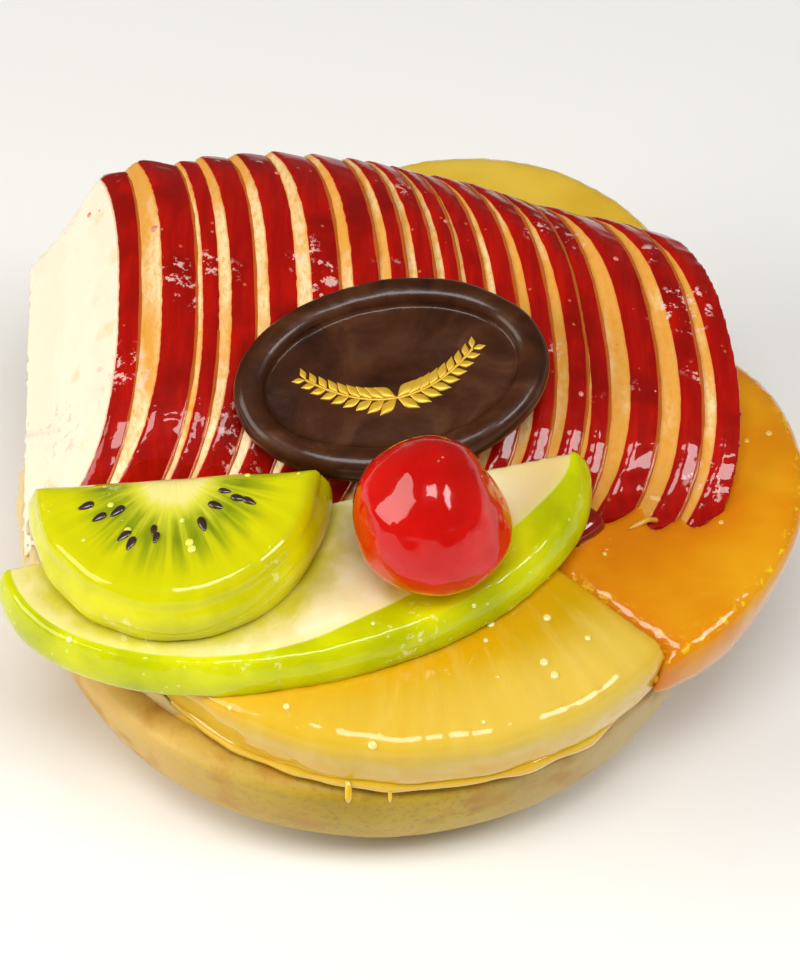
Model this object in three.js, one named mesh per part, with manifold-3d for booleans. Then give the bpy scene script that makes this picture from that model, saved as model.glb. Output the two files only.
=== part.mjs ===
// Glazed fruit tart: a round baked pastry shell filled with a mound of cream, which carries a fan of
// red apple slices, two peach wedges, a pineapple segment, a green apple slice, half a kiwi slice,
// a glace cherry and an oval chocolate plaque. Millimetres, +Z up, the front towards -Y.
// The origin is the middle of the flat underside of the shell.

import * as THREE from "three";
import { mergeVertices } from "three/addons/utils/BufferGeometryUtils.js";
import Module from "manifold-3d";

const wasm = await Module();
wasm.setup();

// Driving dimensions
const clearance = 0.3; // air left between pieces that touch
const leastArea = 1e-7; // smaller triangles have no normal to speak of
const leastOverlap = 1e-6; // smaller overlaps aren't cut away
const welding = 1e-4; // vertices nearer than this are one
const steadying = 0.02; // keeps the sum of a vertex's face normals from being singular

const shell = {
  rimRadius: 48,
  baseRadius: 33, // of the flat underside
  height: 20.5,
  wall: 4,
  rimRound: 1.8,
  hollow: [[0.8, 11.3], [3, 6], [6.5, 4]], // how far in from the wall's top its inside is, and at what height
  wallSteps: 8,
  rimSteps: 4,
  segments: 54,
};

const cream = {
  bulge: 2.6, // how far it swells over the rim on the side where no fruit covers it
  bulgeAzimuth: 174,
  bulgeSpan: [0.55, 0.9], // cosines of the angle from its middle where the swell begins and is full
  bulgeHeight: 26.5,
  bulgeTop: 30.5, // where the swell runs into the mound
  bulgeNeck: [0.75, 0.7], // shares of the swell just under and just over its widest part
  mouthRise: 0.5, // how far the edge stands over the rim where it doesn't swell
  moundFoot: 4, // added to the radius of each of the mound's rings
  moundRadius: 38,
  moundShares: [0.94, 0.84, 0.68, 0.48, 0.25], // of the radius, one for each ring
  moundHeight: 34,
  edgeHeight: 23,
  shoulder: 3, // how far the mound's edge stands over the cream at the rim
  fanGap: 0.6, // left under the fan
  shellGap: 0.4, // left inside the shell
  floorInset: 1,
  segments: 40,
};

// Each slice's thickness and its height from the straight cut to the skin, from left to right
const sliceSizes = [
  [3.3, 23.0],
  [5.5, 25.4],
  [2.3, 22.4],
  [3.8, 23.4],
  [4.3, 23.4],
  [4.5, 23.4],
  [4.1, 22.6],
  [2.1, 21.6],
  [2.4, 21.6],
  [1.8, 21.2],
  [2.4, 21.0],
  [2.6, 21.2],
  [2.5, 21.6],
  [2.4, 22.2],
  [2.2, 21.0],
  [4.5, 23.4],
  [3.1, 23.2],
  [3.4, 23.2],
];

// Pairs are the values at the left and the right end of the fan
const fan = {
  leftEnd: -49.3,
  offset: [20.4, 12.5], // how far behind the middle of the tart the slices' middles stand
  baseHeight: [31.8, 29],
  crown: 4, // how much higher the base is half way along
  bow: 2.5, // how much further back the middle of the row stands
  lean: [38, 46], // degrees from upright
  leanTurn: [0.3, 0.6], // where along the fan the lean changes
  yaw: [-2, -8], // turn about the vertical
  slope: 8, // degrees that the base climbs towards the back
  halfLength: [33.5, 29.5],
  backEnd: [25, 28], // where the skin ends at the back
  heel: [16.5, 25], // where the base ends at the back
  backTurn: [0, 0.6], // where along the fan the backs of the slices change
  unevenness: 0.5, // how far a slice's ends lie out of line
  leastRise: 0.02, // of the skin over the base at its front end
  steepestEnd: 0.995, // of the half length, where the skin may end at the back
  squareness: [2.6, 2.4], // of the curve of the skin; 2 is an ellipse
  arcPoints: 18,
};

const peach = {
  halfLength: 36.5,
  radius: 38,
  stoneRadius: 4,
  wedge: 21, // degrees between the two cuts
  sag: 7, // how much lower the ends lie than the middle
  reach: 83, // degrees from the middle to the last section at each end
  tipOffset: 1, // how far outside the core line the pointed ends lie
  stations: 20,
  arcPoints: 6,
};
const rightPeach = { azimuth: -3.5, coreRadius: 21, coreHeight: 36.8, tilt: -4 };
const backPeach = { azimuth: 66, coreRadius: 24.6, coreHeight: 39.5, tilt: -6 };

const pineapple = {
  outerRadius: 41,
  innerRadius: 14,
  thickness: 11.5,
  edgeRound: 3,
  coreRound: 1,
  roundSteps: 3,
  from: -36.5,
  to: -172,
  flutes: 22, // round the whole ring
  fluteDepth: 0.35,
  stations: 32,
  centre: [4.2, -6.4],
  footHeight: 20.9,
  tilt: 12, // degrees that it climbs from the rim to the core
};

const greenApple = {
  halfLength: 39,
  depth: 23.4, // from the straight cut to the skin
  thickness: 5.6,
  bow: 0.7, // how far the skin swells between the faces
  flare: 1.6, // how much wider it is at the foot
  levels: 5,
  points: 36,
  position: [-10.8, -14.9, 35],
  tilt: [5, -5],
  turn: 10.5,
};

const kiwi = {
  radius: 19.2,
  footRadius: 20.3,
  thickness: 9.5,
  edgeRound: 1.2,
  footInset: 0.8,
  waist: [0.55, 0.3], // share of the way out to the foot at half height, and its swell
  topSwell: 0.2,
  points: 26,
  position: [-25.7, -16.5, 39.4],
  tilt: [5, -5],
  turn: 0.5,
};

const cherry = {
  radius: 10.3,
  slimness: 1.03, // height over width
  taper: 0.07, // how much narrower the top is than the middle
  lobe: 0.09, // how far the one swollen side stands out
  lobeAzimuth: -34,
  ripple: 0.015,
  position: [7.4, -25.2, 51.3],
  around: 22,
  up: 13,
};

const plaque = {
  halfLength: 21.6,
  halfWidth: 14.8,
  thickness: 4.4,
  rimWidth: 4.2,
  rimHeight: 1.7, // of the rim over the field
  lipInset: 1.1, // from each side of the rim to where its top begins to round over
  sideInset: 0.35,
  footInsets: [1.4, 0.4],
  footHeight: 0.5,
  points: 40,
  position: [2.2, 2, 46.6],
  tilt: [16, 0],
  turn: 12,
};

// Small tools

const radians = THREE.MathUtils.degToRad;
const mix = THREE.MathUtils.lerp;
const smooth = THREE.MathUtils.smoothstep;
const point = (x, y, z) => new THREE.Vector3(x, y, z);

// A repeatable number from -1 to 1 for the nth draw of a kind.
function uneven(n, kind) {
  const wave = Math.sin(n * 12.9898 + kind * 78.233) * 43758.5453;
  return 2 * (wave - Math.floor(wave)) - 1;
}

function triangleVolume(positions, index) {
  const [a, b, c] = [point(), point(), point()];
  let sum = 0;
  for (let i = 0; i < index.length; i += 3) {
    a.fromArray(positions, 3 * index[i]);
    b.fromArray(positions, 3 * index[i + 1]);
    c.fromArray(positions, 3 * index[i + 2]);
    sum += a.dot(b.cross(c));
  }
  return sum / 6;
}

function indexedGeometry(positions, index) {
  if (triangleVolume(positions, index) < 0)
    for (let i = 0; i < index.length; i += 3)
      [index[i + 1], index[i + 2]] = [index[i + 2], index[i + 1]];
  const geometry = new THREE.BufferGeometry();
  geometry.setAttribute("position", new THREE.Float32BufferAttribute(positions, 3));
  geometry.setIndex(index);
  return geometry;
}

// A closed solid from a stack of rings with the same number of points. The ends are closed by a fan
// round a middle point, which is the ring's own middle unless a tip is given.
function ringSolid(rings, tips = []) {
  const count = rings[0].length;
  const positions = rings.flatMap((ring) => ring.flatMap((p) => p.toArray()));
  const index = [];
  for (let level = 0; level + 1 < rings.length; level++)
    for (let i = 0; i < count; i++) {
      const a = level * count + i;
      const b = level * count + ((i + 1) % count);
      index.push(a, b, b + count, a, b + count, a + count);
    }
  const ends = [
    { ring: rings[0], first: 0, tip: tips[0], flipped: true },
    { ring: rings.at(-1), first: (rings.length - 1) * count, tip: tips[1], flipped: false },
  ];
  for (const end of ends) {
    const middle = end.tip ?? end.ring.reduce((sum, p) => sum.add(p), point(0, 0, 0)).divideScalar(count);
    const centre = positions.length / 3;
    positions.push(...middle.toArray());
    for (let i = 0; i < count; i++) {
      const a = end.first + i;
      const b = end.first + ((i + 1) % count);
      index.push(centre, ...(end.flipped ? [b, a] : [a, b]));
    }
  }
  return indexedGeometry(positions, index);
}

// The positions and triangles alone, each vertex there once.
function welded(geometry) {
  const bare = new THREE.BufferGeometry();
  bare.setAttribute("position", geometry.getAttribute("position").clone());
  bare.setIndex(geometry.index);
  return mergeVertices(bare, welding);
}

function solidOf(geometry) {
  const merged = welded(geometry);
  return new wasm.Manifold(
    new wasm.Mesh({
      numProp: 3,
      vertProperties: new Float32Array(merged.attributes.position.array),
      triVerts: new Uint32Array(merged.index.array),
    }),
  );
}

function geometryOf(solid) {
  const mesh = solid.getMesh();
  return indexedGeometry(Array.from(mesh.vertProperties), Array.from(mesh.triVerts));
}

const cornerAngle = (at, p, q) => p.clone().sub(at).angleTo(q.clone().sub(at));

// How far each vertex moves when every face of a closed form is pushed out by the same distance:
// to the place where the pushed faces that meet there cross again.
function pushesOut(geometry, distance) {
  const { position } = geometry.attributes;
  const corners = Array.from({ length: position.count }, () => []);
  const { index } = geometry;
  for (let i = 0; i < index.count; i += 3) {
    const ids = [0, 1, 2].map((k) => index.getX(i + k));
    const [a, b, c] = ids.map((id) => point().fromBufferAttribute(position, id));
    const triangle = new THREE.Triangle(a, b, c);
    if (triangle.getArea() < leastArea) continue;
    const normal = triangle.getNormal(point());
    const angles = [cornerAngle(a, b, c), cornerAngle(b, c, a)];
    angles.push(Math.PI - angles[0] - angles[1]);
    ids.forEach((id, k) => corners[id].push({ normal, angle: angles[k] }));
  }
  return corners.map((faces) => {
    const sum = [steadying, 0, 0, 0, steadying, 0, 0, 0, steadying];
    const push = point(0, 0, 0);
    for (const { normal, angle } of faces) {
      const n = normal.toArray();
      for (let row = 0; row < 3; row++)
        for (let column = 0; column < 3; column++) sum[3 * row + column] += angle * n[row] * n[column];
      push.addScaledVector(normal, angle * distance);
    }
    return push.applyMatrix3(new THREE.Matrix3().set(...sum).invert()).clampLength(0, 3 * distance);
  });
}

// The form of a placed mesh, a little larger all over, in the tart's own frame.
function grownInPlace(mesh) {
  mesh.updateMatrixWorld(true);
  const merged = welded(mesh.geometry);
  const { position } = merged.attributes;
  pushesOut(merged, clearance).forEach((push, i) => {
    push.add(point().fromBufferAttribute(position, i));
    position.setXYZ(i, ...push.toArray());
  });
  merged.applyMatrix4(mesh.matrixWorld);
  merged.computeBoundingBox();
  return merged;
}

// Cuts the grown forms of its neighbours out of a placed mesh, so that they nestle without touching.
function carve(mesh, grownNeighbours) {
  const toLocal = mesh.matrixWorld.clone().invert();
  const ownBox = new THREE.Box3().setFromObject(mesh, true);
  let solid = solidOf(mesh.geometry);
  let changed = false;
  for (const neighbour of grownNeighbours) {
    if (!neighbour.boundingBox.intersectsBox(ownBox)) continue;
    const cutter = solidOf(neighbour.clone().applyMatrix4(toLocal));
    if (solid.intersect(cutter).volume() < leastOverlap) continue;
    solid = solid.subtract(cutter);
    changed = true;
  }
  if (!changed) return;
  const largest = solid.decompose().reduce((best, s) => (s.volume() > best.volume() ? s : best));
  mesh.geometry = geometryOf(largest);
}

function madeOf(name, geometry, colour, roughness) {
  const material = new THREE.MeshStandardMaterial({ color: colour, roughness, metalness: 0 });
  const mesh = new THREE.Mesh(geometry, material);
  mesh.name = name;
  return mesh;
}

// Lays a flat piece down: turned about the vertical, then tilted to the front and to the side.
function lay(mesh, { position, tilt, turn }) {
  mesh.position.set(...position);
  mesh.rotation.order = "YXZ";
  mesh.rotation.set(radians(tilt[0]), radians(tilt[1]), radians(turn));
  return mesh;
}

// Pastry shell: one wall of even thickness, rounded into the base, with a blunt round rim.

function shellProfile() {
  const { rimRadius, baseRadius, height, wall, rimRound, wallSteps, rimSteps } = shell;
  const rimStart = height - rimRound;
  const outside = [];
  for (let i = 0; i <= wallSteps; i++) {
    const angle = (i / wallSteps) * (Math.PI / 2);
    const radius = baseRadius + (rimRadius - baseRadius) * Math.sin(angle);
    outside.push(new THREE.Vector2(radius, rimStart - rimStart * Math.cos(angle)));
  }
  const rim = [];
  for (let i = 1; i <= rimSteps; i++) {
    const angle = (i / rimSteps) * Math.PI;
    const radius = rimRadius - wall / 2 + (wall / 2) * Math.cos(angle);
    rim.push(new THREE.Vector2(radius, rimStart + rimRound * Math.sin(angle)));
  }
  return [new THREE.Vector2(0, 0), ...outside, ...rim, ...shellInside()];
}

// The inside of the wall and the floor, from below the rim to the middle.
function shellInside() {
  const { rimRadius, wall, hollow } = shell;
  const side = hollow.map(([inset, height]) => new THREE.Vector2(rimRadius - wall - inset, height));
  return [...side, new THREE.Vector2(0, side.at(-1).y)];
}

const tartShell = madeOf("tart_shell", new THREE.LatheGeometry(shellProfile(), shell.segments), "#c8a24c", 0.75);
tartShell.rotation.x = Math.PI / 2;

// Red apple fan: slices with a curved skin and a straight base lean on each other like fallen dominoes.

// The directions of a slice that stands at a given share of the way along the fan.
function sliceFrame(share) {
  const lean = radians(mix(...fan.lean, smooth(share, ...fan.leanTurn)));
  const yaw = radians(mix(...fan.yaw, share));
  const slope = radians(fan.slope);
  const along = point(Math.sin(yaw), Math.cos(yaw), 0);
  const across = point(Math.cos(yaw), -Math.sin(yaw), 0);
  const up = point(0, 0, 1);
  const back = along.clone().multiplyScalar(Math.cos(slope)).addScaledVector(up, Math.sin(slope));
  const lift = up.clone().multiplyScalar(Math.cos(slope)).addScaledVector(along, -Math.sin(slope));
  const rise = lift.clone().multiplyScalar(Math.cos(lean)).addScaledVector(across, Math.sin(lean));
  const thick = across.clone().multiplyScalar(Math.cos(lean)).addScaledVector(lift, -Math.sin(lean));
  return { back, rise, thick, lean };
}

// The outline of a slice's face in its own plane, from the front end over the skin to the heel.
function sliceOutline({ height, halfLength, backEnd, heel, squareness }, baseHeight) {
  const power = 2 / squareness;
  const firstAngle = Math.asin(Math.pow(baseHeight / height, 1 / power));
  const backShare = Math.min(fan.steepestEnd, backEnd / halfLength);
  const lastAngle = Math.PI - Math.acos(Math.pow(backShare, 1 / power));
  const outline = [];
  for (let i = 0; i < fan.arcPoints; i++) {
    const angle = mix(firstAngle, lastAngle, i / (fan.arcPoints - 1));
    const cosine = Math.cos(angle);
    const along = -Math.sign(cosine) * Math.pow(Math.abs(cosine), power) * halfLength;
    outline.push([along, Math.max(baseHeight, height * Math.pow(Math.sin(angle), power))]);
  }
  outline.push([heel, baseHeight]);
  return outline;
}

const fanOffset = (share) => mix(...fan.offset, share) + fan.bow * Math.sin(share * Math.PI);
const fanBase = (share) => mix(...fan.baseHeight, share) + fan.crown * Math.sin(share * Math.PI);

function slicePlaces() {
  let x = fan.leftEnd;
  return sliceSizes.map(([thickness, height], i) => {
    const share = i / (sliceSizes.length - 1);
    const backShare = smooth(share, ...fan.backTurn);
    const frame = sliceFrame(share);
    const corner = point(x, fanOffset(share), fanBase(share));
    x += (thickness + clearance) / Math.cos(frame.lean);
    return {
      corner,
      frame,
      thickness,
      height,
      halfLength: mix(...fan.halfLength, share) + fan.unevenness * uneven(i, 2),
      backEnd: mix(...fan.backEnd, backShare) + fan.unevenness * uneven(i, 3),
      heel: mix(...fan.heel, backShare) + 2 * fan.unevenness * uneven(i, 4),
      squareness: mix(...fan.squareness, share),
    };
  });
}

// A slab between two cuts; its base is cut level, so the right face is a little shorter.
function appleSlice(place, number) {
  const { corner, frame, thickness } = place;
  const faces = [0, thickness].map((depth) => {
    const baseHeight = Math.max(fan.leastRise, depth * Math.tan(frame.lean));
    const nearCorner = corner.clone().addScaledVector(frame.thick, depth);
    return sliceOutline(place, baseHeight).map(([along, height]) =>
      nearCorner.clone().addScaledVector(frame.back, along).addScaledVector(frame.rise, height),
    );
  });
  const name = "red_apple_slice_" + String(number).padStart(2, "0");
  return madeOf(name, ringSolid(faces), "#a51c10", 0.3);
}

const appleSlices = slicePlaces().map((place, i) => appleSlice(place, i + 1));

// Cream: fills the shell, swells over the rim where it is bare and rises to a mound that just
// reaches the base of the fan.

// The height of the fan's base over a place, taken as one smooth surface.
function underFan(x, y) {
  const middleLean = radians(mix(...fan.lean, 0.5));
  const reach = sliceSizes.reduce((sum, [t]) => sum + t + clearance, 0) / Math.cos(middleLean);
  const share = THREE.MathUtils.clamp((x - fan.leftEnd) / reach, 0, 1);
  return fanBase(share) + Math.tan(radians(fan.slope)) * (y - fanOffset(share));
}

function creamMoundGeometry() {
  const [upper, middle, lower] = shellInside();
  const { rimRadius, wall, height, rimRound } = shell;
  const { shellGap: gap, edgeHeight, bulgeNeck, mouthRise } = cream;
  const mouth = rimRadius - wall - gap;
  const inShell = [
    [lower.x - cream.floorInset, lower.y + gap],
    [middle.x - gap, middle.y + gap],
    [upper.x - gap, upper.y],
    [mouth, height - rimRound],
    [mouth, height + gap],
  ].map(([r, z]) => polarRing(() => r, () => z));
  const swell = (azimuth) => smooth(Math.cos(azimuth - radians(cream.bulgeAzimuth)), ...cream.bulgeSpan);
  const swollen = (share, levels) => {
    const radius = (azimuth) => mouth + (wall + cream.bulge) * share * swell(azimuth);
    return polarRing(radius, (x, y, azimuth) => mix(...levels, swell(azimuth)));
  };
  const overRim = [
    swollen(bulgeNeck[0], [height + gap, height + gap]),
    swollen(1, [height + gap + mouthRise, cream.bulgeHeight]),
    swollen(bulgeNeck[1], [edgeHeight, cream.bulgeTop]),
  ];
  const mound = cream.moundShares.map((share) => {
    const dome = mix(cream.moundHeight, edgeHeight + cream.shoulder, share ** 3);
    const radius = cream.moundRadius * share + cream.moundFoot;
    const level = (x, y) => Math.max(edgeHeight, Math.min(dome, underFan(x, y) - cream.fanGap));
    return polarRing(() => radius, level);
  });
  return ringSolid([...inShell, ...overRim, ...mound]);
}

// A ring round the upright axis, its radius and height given by functions.
function polarRing(radius, level) {
  const ring = [];
  for (let i = 0; i < cream.segments; i++) {
    const azimuth = (i / cream.segments) * 2 * Math.PI;
    const reach = radius(azimuth);
    const x = reach * Math.cos(azimuth);
    const y = reach * Math.sin(azimuth);
    ring.push(point(x, y, level(x, y, azimuth)));
  }
  return ring;
}

const creamMound = madeOf("cream", creamMoundGeometry(), "#f6ecd0", 0.5);

// Peach wedge: part of a round fruit between two cuts that meet near the stone.
// Its length lies along the rim and its skin side faces out.

function peachWedge(name, colour, { azimuth, coreRadius, coreHeight, tilt }) {
  const rings = [];
  for (let s = 0; s < peach.stations; s++) {
    const turn = radians(mix(-peach.reach, peach.reach, s / (peach.stations - 1)));
    const scale = Math.cos(turn);
    const height = coreHeight - peach.sag * Math.sin(turn) ** 2;
    const section = [];
    for (let i = 0; i < peach.arcPoints; i++) {
      const angle = radians(mix(tilt - peach.wedge, tilt, i / (peach.arcPoints - 1)));
      section.push([peach.radius * scale, angle]);
    }
    section.push([peach.stoneRadius * scale, radians(tilt)]);
    section.push([peach.stoneRadius * scale, radians(tilt - peach.wedge)]);
    const y = peach.halfLength * Math.sin(turn);
    rings.push(section.map(([r, a]) => point(coreRadius + r * Math.cos(a), y, height + r * Math.sin(a))));
  }
  const tip = (side) => point(coreRadius + peach.tipOffset, side * peach.halfLength, coreHeight - peach.sag);
  const mesh = madeOf(name, ringSolid(rings, [tip(-1), tip(1)]), colour, 0.3);
  mesh.rotation.z = radians(azimuth);
  return mesh;
}

const peachRight = peachWedge("peach_slice_right", "#e0900f", rightPeach);
const peachBack = peachWedge("peach_slice_back", "#e8c030", backPeach);

// Pineapple: part of a cored ring with a faintly fluted outside and soft edges.

function pineappleSegment() {
  const { outerRadius, innerRadius, thickness, edgeRound, coreRound, roundSteps, from, to } = pineapple;
  const tilt = radians(pineapple.tilt);
  const corners = [
    { r: outerRadius - edgeRound, z: edgeRound, start: -90, round: edgeRound, steps: roundSteps },
    { r: outerRadius - edgeRound, z: thickness - edgeRound, start: 0, round: edgeRound, steps: roundSteps },
    { r: innerRadius + coreRound, z: thickness - coreRound, start: 90, round: coreRound, steps: 1 },
    { r: innerRadius + coreRound, z: coreRound, start: 180, round: coreRound, steps: 1 },
  ];
  const rings = [];
  for (let s = 0; s < pineapple.stations; s++) {
    const azimuth = radians(mix(from, to, s / (pineapple.stations - 1)));
    const flute = pineapple.fluteDepth * Math.abs(Math.sin((azimuth * pineapple.flutes) / 2));
    const ring = [];
    for (const { r, z, start, round, steps } of corners)
      for (let i = 0; i <= steps; i++) {
        const angle = radians(start + (90 * i) / steps);
        const out = r + round * Math.cos(angle) + (round === edgeRound ? flute : 0) - outerRadius;
        const up = z + round * Math.sin(angle);
        const reach = outerRadius + out * Math.cos(tilt) + up * Math.sin(tilt);
        const height = up * Math.cos(tilt) - out * Math.sin(tilt);
        ring.push(point(reach * Math.cos(azimuth), reach * Math.sin(azimuth), height));
      }
    rings.push(ring);
  }
  return madeOf("pineapple_segment", ringSolid(rings), "#e8bd2c", 0.3);
}

const pineapplePiece = pineappleSegment();
pineapplePiece.position.set(...pineapple.centre, pineapple.footHeight);

// Half-moon outline in plan: the straight cut along X, the round side towards -Y.
function halfMoon(halfLength, depth, points) {
  const outline = [];
  for (let i = 0; i < points; i++) {
    const angle = Math.PI * (1 + i / (points - 1));
    outline.push([halfLength * Math.cos(angle), depth * Math.sin(angle)]);
  }
  return outline;
}

// Green apple: a half-moon slice whose outer edge is skin, bowed a little between the two faces.

function greenAppleSlice() {
  const { halfLength, depth, thickness, levels, points } = greenApple;
  const rings = [];
  for (let level = 0; level < levels; level++) {
    const share = level / (levels - 1);
    const bow = greenApple.bow * Math.sin(share * Math.PI) + greenApple.flare * (1 - share);
    const outline = halfMoon(halfLength + bow, depth + bow, points);
    rings.push(outline.map(([x, y]) => point(x, y, thickness * share)));
  }
  return madeOf("green_apple_slice", ringSolid(rings), "#c6d30f", 0.3);
}

const greenAppleMesh = lay(greenAppleSlice(), greenApple);

// Kiwi: half of a thick peeled slice, wider at the foot, with soft edges.

function kiwiHalf() {
  const { radius, footRadius, thickness, edgeRound, footInset, waist, topSwell, points } = kiwi;
  const levels = [
    [footRadius - footInset, 0],
    [footRadius, edgeRound],
    [mix(radius, footRadius, waist[0]) + waist[1], thickness / 2],
    [radius + topSwell, thickness - edgeRound],
    [radius - edgeRound / 4, thickness - edgeRound / 4],
    [radius - edgeRound, thickness],
  ];
  const rings = levels.map(([r, z]) => halfMoon(r, r, points).map(([x, y]) => point(x, y, z)));
  return madeOf("kiwi_half_slice", ringSolid(rings), "#bccf12", 0.3);
}

const kiwiMesh = lay(kiwiHalf(), kiwi);

// Cherry: a candied cherry with a narrower top and one swollen side; the slice under it cuts its foot.

function cherrySolid() {
  const { radius, slimness, taper, lobe, lobeAzimuth, ripple, around, up } = cherry;
  const rings = [];
  for (let level = 1; level < up; level++) {
    const rise = -Math.cos((level / up) * Math.PI);
    const girth = radius * Math.sqrt(1 - rise * rise) * (1 - taper * rise);
    const lowDown = smooth(-rise, -0.4, 0.5);
    const ring = [];
    for (let i = 0; i < around; i++) {
      const azimuth = (i / around) * 2 * Math.PI;
      const facing = Math.exp(2 * Math.cos(azimuth - radians(lobeAzimuth)) - 2);
      const reach = girth * (1 + lobe * facing * lowDown + ripple * Math.sin(3 * azimuth));
      ring.push(point(reach * Math.cos(azimuth), reach * Math.sin(azimuth), radius * slimness * rise));
    }
    rings.push(ring);
  }
  const pole = (side) => point(0, 0, side * radius * slimness);
  return madeOf("glace_cherry", ringSolid(rings, [pole(-1), pole(1)]), "#dc1408", 0.15);
}

const cherryMesh = cherrySolid();
cherryMesh.position.set(...cherry.position);

// Chocolate plaque: a moulded oval with a round raised rim and a bare sunken field.

function plaqueSolid() {
  const { halfLength, halfWidth, thickness, rimWidth, rimHeight, lipInset, sideInset, points } = plaque;
  const lipHeight = thickness - rimHeight / 5;
  const levels = [
    [plaque.footInsets[0], 0],
    [plaque.footInsets[1], plaque.footHeight],
    [0, thickness / 2],
    [sideInset, thickness - rimHeight * 0.6],
    [lipInset, lipHeight],
    [rimWidth / 2, thickness],
    [rimWidth - lipInset, lipHeight],
    [rimWidth - sideInset, thickness - rimHeight * 0.6],
    [rimWidth, thickness - rimHeight],
  ];
  const rings = levels.map(([inset, z]) => {
    const ring = [];
    for (let i = 0; i < points; i++) {
      const angle = (i / points) * 2 * Math.PI;
      ring.push(point((halfLength - inset) * Math.cos(angle), (halfWidth - inset) * Math.sin(angle), z));
    }
    return ring;
  });
  return madeOf("chocolate_plaque", ringSolid(rings), "#4a2a20", 0.4);
}

const plaqueMesh = lay(plaqueSolid(), plaque);

// Nestling: each piece gives way to the ones before it in this list.

const placed = [
  tartShell,
  plaqueMesh,
  greenAppleMesh,
  kiwiMesh,
  cherryMesh,
  ...appleSlices,
  pineapplePiece,
  peachRight,
  peachBack,
  creamMound,
];
const grown = placed.map(grownInPlace);
placed.forEach((mesh, i) => carve(mesh, grown.slice(0, i)));

const tart = new THREE.Group();
tart.name = "fruit_tart";
tart.add(...placed);

export default tart;
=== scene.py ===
import math

import bmesh
import bpy
import numpy as np
from mathutils import Matrix, Vector, noise
from mathutils.bvhtree import BVHTree


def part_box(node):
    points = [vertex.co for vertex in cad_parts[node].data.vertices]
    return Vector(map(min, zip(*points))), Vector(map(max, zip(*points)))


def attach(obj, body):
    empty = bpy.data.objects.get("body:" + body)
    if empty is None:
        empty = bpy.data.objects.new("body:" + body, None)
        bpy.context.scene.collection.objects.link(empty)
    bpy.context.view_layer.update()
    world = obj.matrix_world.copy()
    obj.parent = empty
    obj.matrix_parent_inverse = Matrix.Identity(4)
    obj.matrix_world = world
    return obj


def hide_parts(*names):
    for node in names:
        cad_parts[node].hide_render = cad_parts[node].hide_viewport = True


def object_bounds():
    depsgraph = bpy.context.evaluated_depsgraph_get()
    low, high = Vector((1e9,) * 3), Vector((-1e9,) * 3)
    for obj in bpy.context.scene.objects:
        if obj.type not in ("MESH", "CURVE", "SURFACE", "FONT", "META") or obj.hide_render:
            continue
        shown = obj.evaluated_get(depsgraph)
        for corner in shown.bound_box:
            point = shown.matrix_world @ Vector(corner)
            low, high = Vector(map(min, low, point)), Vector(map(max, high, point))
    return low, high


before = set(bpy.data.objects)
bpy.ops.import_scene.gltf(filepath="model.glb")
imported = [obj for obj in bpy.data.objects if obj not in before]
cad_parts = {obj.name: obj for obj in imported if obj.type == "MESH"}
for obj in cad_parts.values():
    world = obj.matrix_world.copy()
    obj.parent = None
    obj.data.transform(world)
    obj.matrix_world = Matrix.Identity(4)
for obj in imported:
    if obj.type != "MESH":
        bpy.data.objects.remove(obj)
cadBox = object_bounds()
mm = 0.001
sliceNames = sorted(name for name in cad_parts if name.startswith("red_apple_slice"))
print("frame loaded:", len(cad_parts), "nodes,", len(sliceNames), "apple slices")


# Nodes and colours

def linearColour(hexColour):
    channels = [int(hexColour[i:i + 2], 16) / 255 for i in (1, 3, 5)]
    return [c / 12.92 if c <= 0.04045 else ((c + 0.055) / 1.055) ** 2.4 for c in channels] + [1.0]


# The node tree that new nodes go into.
bench = {"tree": None}


def join(output, target):
    bench["tree"].links.new(output, target)


# Adds a node, sets its properties, and fills or links its inputs.
def addNode(kind, settings=None, inputs=None):
    node = bench["tree"].nodes.new(kind)
    for name, value in (settings or {}).items():
        setattr(node, name, value)
    for name, value in (inputs or {}).items():
        if isinstance(value, bpy.types.NodeSocket):
            join(value, node.inputs[name])
        else:
            node.inputs[name].default_value = value
    return node


def perMm(size):
    return 1 / (size * mm)  # texture scale whose features are that many millimetres apart


def objectPlace(stretch=(1, 1, 1)):
    place = addNode("ShaderNodeTexCoord").outputs["Object"]
    return addNode("ShaderNodeMapping", None, {"Vector": place, "Scale": stretch}).outputs["Vector"]


def stored(name, output="Fac"):
    return addNode("ShaderNodeAttribute", {"attribute_name": name}).outputs[output]


def cloud(size, place=None, detail=3.0, roughness=0.5, distortion=0.0):
    return addNode("ShaderNodeTexNoise", None, {
        "Vector": place or objectPlace(), "Scale": perMm(size), "Detail": detail,
        "Roughness": roughness, "Distortion": distortion,
    }).outputs["Fac"]


# Distance to the nearest of scattered points, as a share of their spacing.
def scattered(size):
    return addNode("ShaderNodeTexVoronoi", None, {
        "Vector": objectPlace(), "Scale": perMm(size), "Randomness": 1.0,
    }).outputs["Distance"]


def parted(place):
    return addNode("ShaderNodeSeparateXYZ", None, {0: place}).outputs


def combined(x, y, z):
    return addNode("ShaderNodeCombineXYZ", None, {0: x, 1: y, 2: z}).outputs[0]


def calc(operation, a, b=0.0):
    return addNode("ShaderNodeMath", {"operation": operation}, {0: a, 1: b}).outputs[0]


def times(a, b):
    return calc("MULTIPLY", a, b)


def plus(a, b):
    return calc("ADD", a, b)


def minus(a, b):
    return calc("SUBTRACT", a, b)


# 0 at the first edge and 1 at the second, smooth between them.
def fade(value, start, end):
    return addNode("ShaderNodeMapRange", {"interpolation_type": "SMOOTHSTEP"}, {
        "Value": value, "From Min": start, "From Max": end,
    }).outputs["Result"]


# The second colour over the first, by a share; colours are hex codes or outputs.
def blend(share, first, second):
    node = addNode("ShaderNodeMix", {"data_type": "RGBA"}, {0: share})
    for socket, colour in ((node.inputs[6], first), (node.inputs[7], second)):
        setColour(socket, colour)
    return node.outputs[2]


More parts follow.
